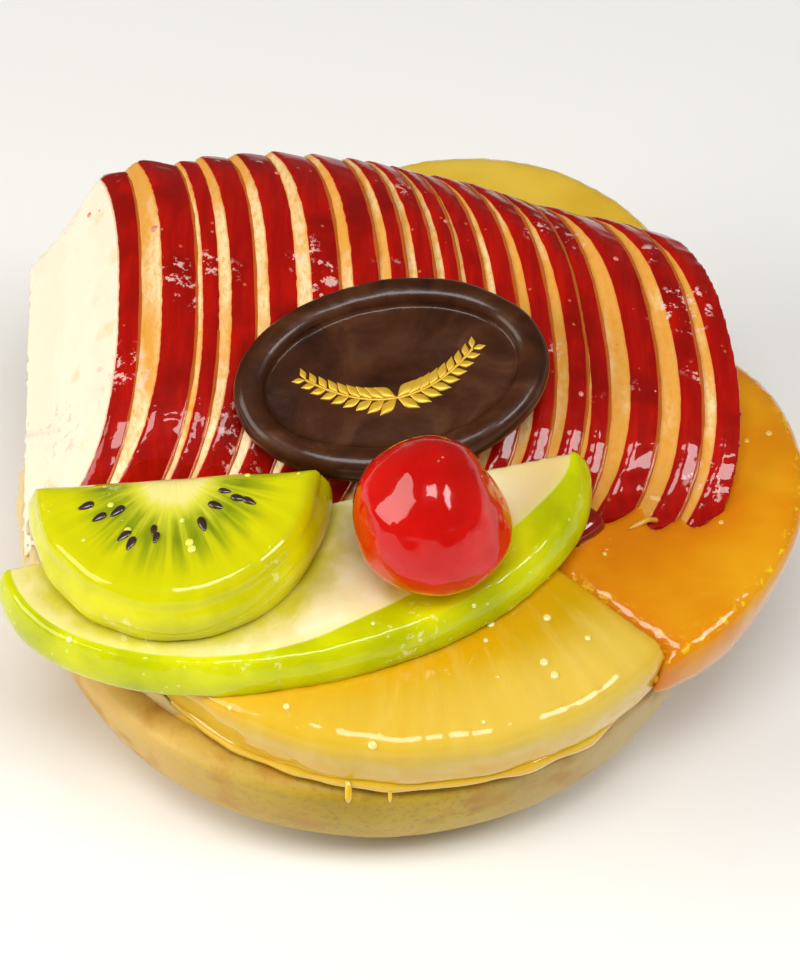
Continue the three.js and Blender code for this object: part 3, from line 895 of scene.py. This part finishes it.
# Green dessert apple: crisp cream flesh on the cut, a bright waxy lime skin round the edge.
def greenAppleSlice():
    material, sockets = newMaterial("greenAppleSlice", 0.35, 1.38, (0.35, 1.6 * mm, (1.0, 0.8, 0.3)))
    skin = colours(cloud(9), [
        (0.3, "#b0b800"), (0.5, "#c6cc00"), (0.7, "#d8da08"),
    ])
    skin = blend(times(fade(scattered(2.2), 0.14, 0.06), 0.5), skin, "#e8ec90")
    flesh = colours(cloud(7), [
        (0.3, "#f0dfa0"), (0.55, "#f5eabc"), (0.75, "#f9f1d2"),
    ])
    # Yellow-green where gel has run together near other pieces, deeper there as painted shade.
    flesh = blend(times(gelAndShadeInNooks(5.5), 0.95), flesh, "#ccc408")
    across = parted(objectPlace())[0]
    deeperToned = times(fade(across, 12 * mm, 24 * mm), 0.65)
    flesh = blend(deeperToned, flesh, "#deb868")
    edge = stored("skinEdge")
    flesh = blend(times(fade(edge, 2.6, 0.8), 0.5), flesh, "#e2e07a")
    cover = fade(edge, greenApple["skinDepth"] + 0.25, greenApple["skinDepth"] - 0.1)
    # Small pale yellow patches of painted highlight over skin and flesh.
    dress(sockets, paintedGlints(blend(cover, flesh, skin), "#f2f0b0", 0.6), bumpFrom(cloud(1.3), 0.08))
    return brushedGlaze(material, sockets)


# The round side in the slice's own plane, a little way out from the skin, shallower at its right end.
def appleOutline(out):
    turn = np.linspace(math.pi, 2 * math.pi, 181)
    past = np.cos(turn) - greenApple["flatFrom"]
    share = 1 - greenApple["flatness"] * (past + np.hypot(past, greenApple["flatBlend"])) / 2
    long, deep = greenApple["halfLength"] + out, greenApple["depth"] + out
    return np.stack([long * np.cos(turn), share * deep * np.sin(turn)], 1)


def layGreenApple():
    piece = copyOfNode("green_apple_slice", "green_slice")
    evenSkin(piece, greenApple)
    toLocal = layingMatrix(greenApple).inverted()
    local = onPlace(pointsOf(piece), toLocal) / mm
    outline = appleOutline(0)
    lowest = np.interp(local[:, 0], outline[:, 0], outline[:, 1])
    edge = np.where(local[:, 1] > lowest, distanceToLine(local[:, :2], outline), 0)
    roughen(piece, greenApple)
    store(piece, "skinEdge", edge)
    storeNooks(piece, "green_apple_slice")
    return finishPiece(piece, greenAppleSlice(), ["green_apple_slice"])


layGreenApple()
print("green apple laid")


# Kiwi

kiwi = {
    "radius": 19.2,
    "footRadius": 20.3,
    "thickness": 9.5,
    "footInset": 0.8,
    "bulge": 0.5,
    "edgeRound": 2.6,
    "overHalf": 1.5,  # the flat cut is a little behind the middle
    "position": (-25.7, -16.5, 39.4),
    "tilt": (5, -5),
    "turn": 0.5,
    "around": 140,
    "voxel": 0.34,
    "rounds": 4,
    "rayDepth": 0.3,
    "sideLumps": (0.35, 6),  # height and size
    "coreReach": (4.4, 5.4),
    "seedSize": (1.0, 2.2, 0.6),
    "seedLift": 0.05,
    "seedTurn": 0.25,  # radians either way from pointing at the core
    "seedPlaces": [
        (-7.4, -4.6), (-9.8, -5.4), (-11.6, -3.4), (-6.4, -8.7), (-5.5, -10.0),
        (-2.5, -8.1), (-2.2, -9.3), (3.9, -7.6), (5.7, -4.7), (8.6, -3.7), (10.0, -4.3), (6.8, -2.4),
    ],
}


# Ripe kiwi, peeled and cut across: wet green flesh with pale rays round a cream core, clearer and more
# yellow towards the outside, where light passes through.
def kiwiFlesh():
    material, sockets = newMaterial("kiwiFlesh", 0.3, 1.38, (0.3, 2.0 * mm, (1.0, 0.9, 0.15)))
    angle, reach, depth = parted(stored("rayPlace", "Vector"))
    fanned = combined(times(angle, 9.0), times(reach, 0.08), 0.0)
    rays = cloud(1 / mm, fanned, detail=2, roughness=0.5)
    uneven = times(minus(rays, 0.5), 0.12)
    share = plus(calc("DIVIDE", reach, 20.0), uneven)
    dark = colours(share, [
        (0.2, "#ece088"), (0.26, "#d8d440"), (0.34, "#98a212"),
        (0.46, "#7d8c0a"), (0.58, "#a2aa0a"), (0.7, "#cac804"),
    ])
    bright = colours(share, [
        (0.2, "#ece088"), (0.27, "#dcd83c"), (0.45, "#b8bc18"), (0.62, "#cecc06"),
    ])
    onTop = blend(fade(rays, 0.4, 0.66), dark, bright)
    side = colours(cloud(8), [(0.35, "#c8c602"), (0.6, "#dedb04")])
    whole = blend(fade(depth, 0.4, 2.2), onTop, side)
    # Small pale patches of painted highlight over the flesh.
    dress(sockets, paintedGlints(whole, "#f0eca0", 0.6), bumpFrom(rays, 0.18))
    return brushedGlaze(material, sockets)


# Kiwi seeds are small, hard, nearly black drops.
def kiwiSeed():
    material, sockets = newMaterial("kiwiSeed", 0.35, others={"Coat Weight": 0.8, "Coat Roughness": 0.05})
    dress(sockets, blend(cloud(0.8), "#1d0f0b", "#4a2a1e"))
    return material


def halfMoon(radius, inset, height, count):
    ring = []
    for k in range(count):
        angle = math.pi * (1 + k / (count - 1))
        y = radius * math.sin(angle) - inset * (1 + math.sin(angle))
        ring.append((radius * math.cos(angle), y, height))
    return ring


def layKiwi():
    rounding, thickness = kiwi["edgeRound"], kiwi["thickness"]
    foot, top = kiwi["footRadius"], kiwi["radius"]
    levels = [(foot - kiwi["footInset"], 0, 0), (foot, 0, rounding)]
    for k in range(1, 9):
        share = k / 9
        radius = foot + (top - foot) * share + kiwi["bulge"] * math.sin(math.pi * share)
        levels.append((radius, 0, rounding + (thickness - 2 * rounding) * share))
    for k in range(7):
        angle = math.radians(90 * k / 6)
        inset = rounding * (1 - math.cos(angle))
        levels.append((top - inset, inset, thickness - rounding + rounding * math.sin(angle)))
    rings = [[tuple(c * mm for c in p) for p in halfMoon(r, i, z, kiwi["around"])] for r, i, z in levels]
    piece = evenSkin(ringStacks("kiwi_piece", [rings]), kiwi)
    local = pointsOf(piece) / mm
    local[:, 1] += kiwi["overHalf"] * (1 + local[:, 1] / foot)
    setPoints(piece, local * mm)
    behind = local[:, 1] - kiwi["overHalf"]
    angles = np.arctan2(behind, local[:, 0])
    angles = np.where(angles > 0.5, angles - 2 * math.pi, angles)
    wide, deep = kiwi["coreReach"]
    reach = np.hypot(local[:, 0], behind * wide / deep)
    store(piece, "rayPlace", np.stack([angles, reach, thickness - local[:, 2]], 1))

    def rayRelief(p, n):
        angle = math.atan2(p.y, p.x)
        away = math.hypot(p.x, p.y)
        ray = noise.noise(Vector((angle * 7, 0.05 * away, 2)))
        onFace = max(0.0, n[2]) * min(1, max(0, (away - 5) / 3)) * min(1, max(0, (17 - away) / 3))
        height, size = kiwi["sideLumps"]
        return kiwi["rayDepth"] * ray * onFace + height * lumps(p, size) * (1 - max(0.0, n[2]))

    raise_(piece, rayRelief)
    setPoints(piece, onPlace(pointsOf(piece), layingMatrix(kiwi)))
    storeNooks(piece, "kiwi_half_slice")
    return finishPiece(piece, kiwiFlesh(), ["kiwi_half_slice"])


# Starts a geometry tree with named inputs, first the geometry and last the material.
def newTree(name, kinds):
    tree = bpy.data.node_groups.new(name, "GeometryNodeTree")
    for kind, labels in {"Geometry": ["Geometry"], **kinds, "Material": ["Material"]}.items():
        for label in labels:
            tree.interface.new_socket(label, in_out="INPUT", socket_type="NodeSocket" + kind)
    tree.interface.new_socket("Geometry", in_out="OUTPUT", socket_type="NodeSocketGeometry")
    bench["tree"] = tree
    return tree, addNode("NodeGroupInput").outputs


# Ends a tree: what it has made becomes real mesh of one material.
def endTree(made, given):
    real = addNode("GeometryNodeRealizeInstances", None, {0: made}).outputs[0]
    painted = addNode("GeometryNodeSetMaterial", None, {"Geometry": real, "Material": given["Material"]})
    addNode("NodeGroupOutput", None, {0: painted.outputs[0]})


def ballIn(radius):
    return addNode("GeometryNodeMeshIcoSphere", None, {"Radius": radius, "Subdivisions": 3}).outputs["Mesh"]


def movedTo(geometry, place):
    return addNode("GeometryNodeSetPosition", None, {"Geometry": geometry, "Position": place}).outputs[0]


def placeIn():
    return parted(addNode("GeometryNodeInputPosition").outputs[0])


def attributeIn(name, kind):
    return addNode("GeometryNodeInputNamedAttribute", {"data_type": kind}, {"Name": name}).outputs[0]


def scaledBy(size, amount):
    return addNode("ShaderNodeVectorMath", {"operation": "SCALE"}, {0: size, "Scale": amount}).outputs[0]


def onPoints(points, instance, turn, size):
    return addNode("GeometryNodeInstanceOnPoints", None, {
        "Points": points, "Instance": instance, "Rotation": turn, "Scale": size,
    }).outputs[0]


# A tree that puts one drop-shaped grain on each point, turned as the point says.
def grainTree():
    tree, given = newTree("grainsOnPoints", {
        "Float": ("Width", "Length", "Height", "Taper", "Smallest"), "Int": ("Seed",),
    })
    x, y, z = placeIn()
    taper = minus(1.0, times(y, given["Taper"]))
    drop = movedTo(ballIn(0.5), combined(times(x, taper), y, times(z, taper)))
    vary = addNode("FunctionNodeRandomValue", {"data_type": "FLOAT"}, {
        2: given["Smallest"], 3: 1.15, "Seed": given["Seed"],
    }).outputs[1]
    size = scaledBy(combined(given["Width"], given["Length"], given["Height"]), vary)
    endTree(onPoints(given["Geometry"], drop, attributeIn("turned", "FLOAT_VECTOR"), size), given)
    return tree


def addTree(piece, tree, values):
    modifier = piece.modifiers.new(tree.name, "NODES")
    modifier.node_group = tree
    for item in tree.interface.items_tree:
        if item.in_out == "INPUT" and item.name in values:
            modifier[item.identifier] = values[item.name]
    return applyModifiers(piece)


grains = grainTree()


def growGrains(piece, sizes, taper, smallest, seed, material):
    width, length, height = (size * mm for size in sizes)
    addTree(piece, grains, {
        "Width": width, "Length": length, "Height": height, "Taper": taper, "Smallest": smallest,
        "Seed": seed, "Material": material,
    })
    return finishPiece(piece, material)


def sowSeeds():
    randoms = np.random.default_rng(21)
    points, turns = [], []
    for x, y in kiwi["seedPlaces"]:
        points.append((x, y, kiwi["thickness"] + kiwi["seedLift"]))
        stray = randoms.uniform(-kiwi["seedTurn"], kiwi["seedTurn"])
        turns.append(math.atan2(y, x) - math.pi / 2 + stray)
    matrix = layingMatrix(kiwi)
    tilted = [(matrix.to_3x3() @ Matrix.Rotation(turn, 3, "Z")).to_euler() for turn in turns]
    placed = onPlace(np.array(points) * mm, matrix)
    piece = meshObject("kiwi_seeds", placed)
    store(piece, "turned", [tuple(t) for t in tilted])
    return growGrains(piece, kiwi["seedSize"], 0.7, 0.75, 3, kiwiSeed())


layKiwi()
sowSeeds()
print("kiwi laid and sown")


# Cherry

cherry = {
    "radius": 10.3,
    "slimness": 1.03,
    "taper": 0.07,
    "lobe": 0.1,
    "lobeAzimuth": -24,
    "lobeSpan": (-0.1, 0.5),
    "dent": 0.17,
    "dentAzimuth": 12,
    "dentSpan": (-0.3, 0.4),
    "spread": 2.0,
    "waviness": 0.015,
    "lumps": [(0.35, 7, 0), (0.14, 3.4, 2)],
    "position": (7.4, -25.2, 51.3),
    "around": 160,
    "up": 110,
}


# Candied cherry: clear, sugar-steeped flesh under a tight wet skin. Its lower part is painted orange as a
# glow, and its top painted darker as shade.
def candiedCherry():
    material, sockets = newMaterial("candiedCherry", 0.22, 1.45, (0.6, 2.4 * mm, (1.0, 0.1, 0.03)))
    height = parted(objectPlace())[2]
    # Painted glow: orange on the lower part.
    low = fade(height, 45 * mm, 41.5 * mm)
    body = blend(fade(cloud(7), 0.35, 0.7), "#cc0a03", "#e2160a")
    # Painted shade: darker red towards the top.
    body = blend(times(fade(height, 53 * mm, 62 * mm), 0.6), body, "#a80a04")
    dress(sockets, blend(times(low, 0.7), body, "#ee5a10"), bumpFrom(cloud(2.2), 0.1))
    brushedGlaze(material, sockets, waves=1.6)
    sockets["Coat IOR"].default_value = 1.42
    return material


# How far one side of the cherry stands out or in, at an azimuth in radians and a rise from -1 to 1.
def cherrySide(kind, azimuth, rise):
    low, high = cherry[kind + "Span"]
    share = min(1, max(0, (rise - low) / (high - low)))
    facing = math.exp(cherry["spread"] * (math.cos(azimuth - math.radians(cherry[kind + "Azimuth"])) - 1))
    return cherry[kind] * facing * share * share * (3 - 2 * share)


def layCherry():
    rings = []
    for level in range(1, cherry["up"]):
        rise = -math.cos(math.pi * level / cherry["up"])
        girth = cherry["radius"] * math.sqrt(1 - rise * rise) * (1 - cherry["taper"] * rise)

        def swell(azimuth):
            sides = cherrySide("lobe", azimuth, -rise) - cherrySide("dent", azimuth, rise)
            return 1 + sides + cherry["waviness"] * math.sin(3 * azimuth)

        height = cherry["radius"] * cherry["slimness"] * rise
        rings.append(roundRing(girth, girth, height, cherry["around"], swell))
    piece = ringStacks("candied_cherry", [rings])
    setPoints(piece, pointsOf(piece) + np.array(cherry["position"]) * mm)
    roughen(piece, cherry)
    return finishPiece(piece, candiedCherry(), ["glace_cherry"])


layCherry()
print("cherry laid")


# Chocolate plaque

plaque = {
    "halfLength": 21.6,
    "halfWidth": 14.8,
    "thickness": 4.4,
    "rimWidth": 4.2,
    "rimHeight": 1.7,
    "foot": [(1.4, 0.0), (0.4, 0.5), (0.1, 1.2)],  # inset and height of the outline's lower points
    "rimFrom": 2.0,
    "rimFullness": 0.8,
    "voxel": 0.3,
    "rounds": 3,
    "lumps": [(0.25, 8, 0), (0.03, 2, 0)],
    "position": (2.2, 2, 46.6),
    "tilt": (16, 0),
    "turn": 12,
    "around": 220,
    "stemReach": 11.5,
    "stemLow": -3.4,
    "stemRise": 5.2,
    "stemRadius": 0.22,
    "leafOpening": 38,
    "leaves": 9,
    "leafSize": (3.6, 1.5),
    "reliefHeight": 0.3,
}


# Moulded milk chocolate: tempered, so it takes a satin shine from the mould, with faint swirls.
def mouldedChocolate():
    material, sockets = newMaterial("mouldedChocolate", 0.34, 1.46, (0.08, 0.8 * mm, (1.0, 0.5, 0.3)), {
        "Specular IOR Level": 0.2, "Coat Weight": 0.3, "Coat Roughness": 0.14,
    })
    swirl = cloud(9, detail=3, distortion=1.2)
    brown = colours(swirl, [(0.3, "#2c1206"), (0.55, "#42220f"), (0.75, "#56341e")])
    dress(sockets, brown, bumpFrom(cloud(5, detail=2), 0.3, bumpFrom(cloud(0.9), 0.05)))
    return material


# Gold cocoa-butter transfer: a printed layer with pearl dust, more yellow paint than metal.
def goldTransfer():
    material, sockets = newMaterial("goldTransfer", 0.36, others={"Metallic": 0.35})
    dress(sockets, blend(cloud(1.5), "#c99a1c", "#e6c040"))
    return material


def layPlaque():
    thickness, rim = plaque["thickness"], plaque["rimWidth"]
    field = thickness - plaque["rimHeight"]
    levels = list(plaque["foot"])
    for k in range(13):
        angle = math.radians(180 * k / 12)
        rise = math.sin(angle) ** plaque["rimFullness"]
        foot = plaque["rimFrom"] if k < 6 else field
        levels.append((rim / 2 - rim / 2 * math.cos(angle), foot + (thickness - foot) * rise))
    levels += [(rim + 0.5, field - 0.05), (rim + 3, field), (rim + 7, field)]
    rings = [roundRing(plaque["halfLength"] - inset, plaque["halfWidth"] - inset, height, plaque["around"])
             for inset, height in levels]
    piece = ringStacks("moulded_plaque", [rings])
    evenSkin(piece, plaque)
    setPoints(piece, onPlace(pointsOf(piece), layingMatrix(plaque)))
    roughen(piece, plaque)
    return finishPiece(piece, mouldedChocolate(), ["chocolate_plaque"])


# A tree that sets leaves in pairs along a stem, smaller towards its tip, with a tube for the stem.
def sprigTree():
    tree, given = newTree("sprigOnPlaque", {
        "Float": ("Leaf Length", "Leaf Width", "Relief", "Opening", "Stem Radius"), "Int": ("Pairs",),
    })
    stem = addNode("GeometryNodeMeshToCurve", None, {0: given["Geometry"]}).outputs[0]
    taper = minus(1.0, times(addNode("GeometryNodeSplineParameter").outputs[0], 0.45))
    x, y, z = placeIn()
    pinch = minus(1.0, calc("POWER", calc("ABSOLUTE", x), 1.4))
    leaf = movedTo(ballIn(1.0), combined(plus(x, 1.0), times(y, plus(pinch, 0.12)), z))
    tapered = addNode("GeometryNodeStoreNamedAttribute", {"data_type": "FLOAT", "domain": "POINT"}, {
        "Geometry": stem, "Name": "tipward", "Value": taper,
    }).outputs[0]
    points = addNode("GeometryNodeCurveToPoints", {"mode": "COUNT"}, {
        "Curve": tapered, "Count": given["Pairs"],
    }).outputs[0]
    size = combined(given["Leaf Length"], given["Leaf Width"], given["Relief"])
    size = scaledBy(size, attributeIn("tipward", "FLOAT"))
    heading = attributeIn("heading", "FLOAT")
    joined = addNode("GeometryNodeJoinGeometry")
    for side in (1.0, -1.0):
        swing = plus(heading, times(given["Opening"], side))
        join(onPoints(points, leaf, combined(0.0, 0.0, swing), size), joined.inputs[0])
    circle = addNode("GeometryNodeCurvePrimitiveCircle", {"mode": "RADIUS"}, {
        "Resolution": 10, "Radius": given["Stem Radius"],
    }).outputs[0]
    tube = addNode("GeometryNodeCurveToMesh", None, {
        "Curve": stem, "Profile Curve": circle, "Fill Caps": True,
    }).outputs[0]
    join(tube, joined.inputs[0])
    endTree(joined.outputs[0], given)
    return tree


def printSprig():
    steps = 40
    points, headings, edges = [], [], []
    for mirrored in (1, -1):
        for k in range(steps + 1):
            share = k / steps
            x = mirrored * plaque["stemReach"] * share
            y = plaque["stemLow"] + plaque["stemRise"] * share ** 2
            slopeY = 2 * plaque["stemRise"] * share / plaque["stemReach"]
            points.append((x * mm, y * mm, 0))
            headings.append(math.atan2(slopeY, mirrored))
            if k:
                edges.append((len(points) - 2, len(points) - 1))
    piece = meshObject("gold_sprig", points, edges=edges)
    store(piece, "heading", headings)
    length, width = plaque["leafSize"]
    gold = goldTransfer()
    addTree(piece, sprigTree(), {
        "Leaf Length": length / 2 * mm, "Leaf Width": width / 2 * mm, "Relief": plaque["reliefHeight"] * mm,
        "Opening": math.radians(plaque["leafOpening"]), "Stem Radius": plaque["stemRadius"] * mm,
        "Pairs": plaque["leaves"], "Material": gold,
    })
    lift = (plaque["thickness"] - plaque["rimHeight"]) * mm
    setPoints(piece, onPlace(pointsOf(piece) + np.array((0, 0, lift)), layingMatrix(plaque)))
    return finishPiece(piece, gold)


layPlaque()
printSprig()
print("plaque laid and printed")


# Settled gel

settled = {
    "seamRadius": 0.3,  # of the gel that stands along the slices' edges
    "footRadius": 0.8,  # round the foot of the cherry
    "skirtRadius": 1.15,  # between the pineapple and the rim
    "seamFilling": 0.9,  # between the pineapple and the right peach
    "lumpiness": 0.35,
    "edgeRadius": 0.4,  # where the fan's front ends meet the right peach
    "blotRadius": 2.2,  # where red juice has run out at the fan's front
    "footTurns": (-215, 60, 60),  # degrees at the start and the end, and how many points
    "skirt": (40.7, 22.1, (-174, -44, 120)),  # radius and height of an arc, and its turns as above
    "inside": (42.4, 20.4, (180, 246, 80)),
    "drips": {-3.5: 0.5, 2.0: 0.3},  # radius of the drip at each place along the front
    "dripLine": [(-46.4, 22.8), (-47.7, 22.2), (-48.5, 21.3), (-48.8, 20.3)],
    "seamEnds": ((23.8, -15.6, 30), (37.2, -34.2, 27)),
    "edgePlan": [(34.0, -14.4), (36.8, -12.6), (39.5, -10.6), (42.3, -8.2), (45.6, -4.6)],
    "blotPlan": [(30.0, -12.4), (28.6, -13.8), (27.0, -15.2), (25.6, -16.4)],
    "around": 12,
    "step": 0.5,
    "tips": (4, 0.08),  # how fast a bead thins out at its ends, and the least share that is left
    "dropsFacing": 0.35,  # drops lie on what faces up at least this much
    "dropsAbove": 20.0,
    # how many drops lie on each piece, and their tint, painted lighter than the fruit as highlight
    "drops": {
        "apple_slice": (2, "#dc8878"), "kiwi_piece": (9, "#e8e860"), "green_slice": (16, "#eef090"),
        "pineapple_piece": (26, "#fae490"), "right_peach": (10, "#f6c050"), "candied_cherry": (5, "#ee6a58"),
    },
    "dropSize": (1.1, 1.1, 0.55),
}


# Set gel: clear, tinted amber by the fruit juice, so that what lies under it shows through.
def settledGel(name, colour, alpha, wetness=1.0):
    material, sockets = newMaterial(name, 0.12, 1.38, (0.2, 1.0 * mm), {
        "Alpha": alpha, "Coat Weight": wetness, "Coat Roughness": 0.02, "Coat IOR": 1.4,
        "Specular IOR Level": 0.5 * wetness,
    })
    dress(sockets, colour)
    return material


# Points along a line at even steps, in millimetres.
def evenly(path):
    path = np.asarray(path, float)
    lengths = np.concatenate([[0], np.cumsum(np.linalg.norm(np.diff(path, axis=0), axis=1))])
    stations = np.linspace(0, lengths[-1], max(4, int(lengths[-1] / settled["step"])))
    return np.stack([np.interp(stations, lengths, path[:, k]) for k in range(3)], 1)


# Rings of an uneven round bead of gel along a line, thinning out at both ends.
def beadRings(path, radius, seed):
    points = evenly(path)
    ahead = np.gradient(points, axis=0)
    ahead /= np.linalg.norm(ahead, axis=1)[:, None]
    turns = 2 * math.pi * np.arange(settled["around"]) / settled["around"]
    steepness, least = settled["tips"]
    rings = []
    for k, (point, direction) in enumerate(zip(points, ahead)):
        side = np.cross(direction, (0.1, 0.2, 1.0))
        side /= np.linalg.norm(side)
        over = np.cross(side, direction)
        ends = min(1.0, math.sin(math.pi * (k + 0.3) / (len(points) - 0.4)) * steepness)
        thick = radius * max(least, ends) * (1 + settled["lumpiness"] * lumps(point, 4, seed))
        rings.append([(point + thick * (math.cos(a) * side + math.sin(a) * over)) * mm for a in turns])
    return rings


# A point a little above or below the top of a solid, all in millimetres.
def onTopOf(nodeName, x, y, above):
    hit = trees[nodeName].ray_cast(Vector((x * mm, y * mm, 0.2)), Vector((0, 0, -1)))[0]
    return (x, y, hit.z / mm + above)


def arc(middle, radius, height, turns):
    angles = np.radians(np.linspace(*turns))
    return np.stack([middle[0] + radius * np.cos(angles), middle[1] + radius * np.sin(angles),
                     np.full(len(angles), height)], 1)


# Each line is a path and its radius.
def runGel(pieceName, slotName, lines, *looks):
    stacks = [beadRings(path, radius, seed) for seed, (path, radius) in enumerate(lines)]
    return finishPiece(ringStacks(pieceName, stacks), settledGel(*looks))


def settleGel():
    seams = [(rightSkinLine(name), settled["seamRadius"]) for name in sliceNames[:-1]]
    runGel("seam_gel", "red_apple", seams, "seamGel", "#c8641c", 0.7)

    seat, top = layingMatrix(greenApple), greenApple["thickness"]
    middle = seat.inverted() @ (Vector(cherry["position"]) * mm) / mm
    reach = math.sqrt(cherry["radius"] ** 2 - (middle.z - top) ** 2)
    circle = arc(middle, reach, top + 0.2, settled["footTurns"])
    foot = onPlace(circle * mm, seat) / mm
    # The ring of gel round the cherry's foot is pale gel, its paleness partly a painted highlight rim.
    runGel("foot_gel", "cherry", [(foot, settled["footRadius"])], "footGel", "#f4e8b4", 0.5)

    drips = [([(x, y, z) for y, z in settled["dripLine"]], radius) for x, radius in settled["drips"].items()]
    skirt = arc(pineapple["centre"], *settled["skirt"])
    inside = arc((0, 0), *settled["inside"])
    skirts = [(line, settled["skirtRadius"]) for line in (skirt, inside)]
    runGel("skirt_gel", "pineapple", skirts + drips, "skirtGel", "#e4b828", 1.0)

    guesses = np.linspace(*settled["seamEnds"], 30) * mm
    seam = [trees["peach_slice_right"].find_nearest(Vector(guess))[0] / mm for guess in guesses]
    runGel("seam_filling", "peach", [(seam, settled["seamFilling"])], "fillingGel", "#cc8c08", 1.0, 0.15)

    edge = [onTopOf("peach_slice_right", x, y, 0.6) for x, y in settled["edgePlan"]]
    runGel("edge_gel", "peach", [(edge, settled["edgeRadius"])], "edgeGel", "#eeb040", 0.8)
    blot = [onTopOf("peach_slice_right", x, y, 0.5) for x, y in settled["blotPlan"]]
    runGel("dark_gel", "red_apple", [(blot, settled["blotRadius"])], "darkGel", "#8a1208", 0.9)


# A thick drop of gel takes the colour of the fruit under it, painted lighter as a highlight.
def gelDrop():
    material, sockets = newMaterial("gelDrop", 0.15, 1.38, (0.4, 0.6 * mm), {
        "Coat Weight": 1.0, "Coat Roughness": 0.02, "Coat IOR": 1.45,
    })
    dress(sockets, stored("tint", "Color"))
    return material


# Small drops that the brush left, scattered on what faces up.
def sprinkleDrops():
    randoms = np.random.default_rng(5)
    places, turns, tints = [], [], []
    for piece in list(finished):
        kind = "apple_slice" if piece.name.startswith("apple_slice") else piece.name
        count, tint = settled["drops"].get(kind, (0, "#ffffff"))
        points, normals = pointsOf(piece), normalsOf(piece)
        high = points[:, 2] > settled["dropsAbove"] * mm
        exposed = np.flatnonzero((normals[:, 2] > settled["dropsFacing"]) & high)
        for k in randoms.choice(exposed, count):
            places.append(points[k])
            turns.append(tuple(Vector(normals[k]).to_track_quat("Z", "Y").to_euler()))
            tints.append(linearColour(tint)[:3])
    piece = meshObject("gel_drops", places)
    store(piece, "turned", turns)
    store(piece, "tint", tints)
    return growGrains(piece, settled["dropSize"], 0.1, 0.3, 9, gelDrop())


settleGel()
sprinkleDrops()
print("gel settled")


# Floor, lights and camera

studio = {
    "target": (3.3, 0.0, 27.6),
    "elevation": 48.0,
    "distance": 550.0,
    "lens": 145.5,
    "world": 0.1,
    "panels": {  # place, size, power and colour
        "leftPanel": ((-0.62, -0.16, 0.4), (0.5, 0.4), 3.7, "#fffaf2"),
        "rightPanel": ((0.58, -0.26, 0.66), (0.26, 0.26), 2.7, "#ffffff"),
        "frontPanel": ((0.0, -0.35, 0.9), (0.5, 0.3), 5.2, "#ffffff"),
    },
}


def paintedFloor():
    material, sockets = newMaterial("paintedFloor", 0.6)
    dress(sockets, "#f4f3f0")
    return material


def lightPanel(name, place, size, power, colour):
    data = bpy.data.lights.new(name, "AREA")
    data.shape = "RECTANGLE"
    data.size, data.size_y = size
    data.energy = power
    data.color = linearColour(colour)[:3]
    light = addObject(name, data)
    light.location = Vector(place)
    towards = Vector(studio["target"]) * mm - light.location
    light.rotation_euler = towards.to_track_quat("-Z", "Y").to_euler()
    return light


def setStudio():
    floor = meshObject("floor", [(-2, -2, 0), (2, -2, 0), (2, 2, 0), (-2, 2, 0)], [(0, 1, 2, 3)])
    floor.data.materials.append(paintedFloor())
    for name, values in studio["panels"].items():
        lightPanel(name, *values)
    world = bpy.data.worlds.new("studioRoom")
    world.use_nodes = True
    world.node_tree.nodes["Background"].inputs["Color"].default_value = linearColour("#ffffff")
    world.node_tree.nodes["Background"].inputs["Strength"].default_value = studio["world"]
    bpy.context.scene.world = world
    bpy.context.scene.view_settings.view_transform = "Standard"
    data = bpy.data.cameras.new("camera")
    data.lens = studio["lens"]
    data.sensor_width = 36
    data.clip_start, data.clip_end = 0.05, 5
    camera = addObject("camera", data)
    angle = math.radians(studio["elevation"])
    back = Vector((0, -math.cos(angle), math.sin(angle)))
    camera.location = (Vector(studio["target"]) + back * studio["distance"]) * mm
    camera.rotation_euler = (-back).to_track_quat("-Z", "Y").to_euler()
    bpy.context.scene.camera = camera


setStudio()
print("pieces:", len(finished), "triangles:", sum(len(p.data.loop_triangles) for p in finished))
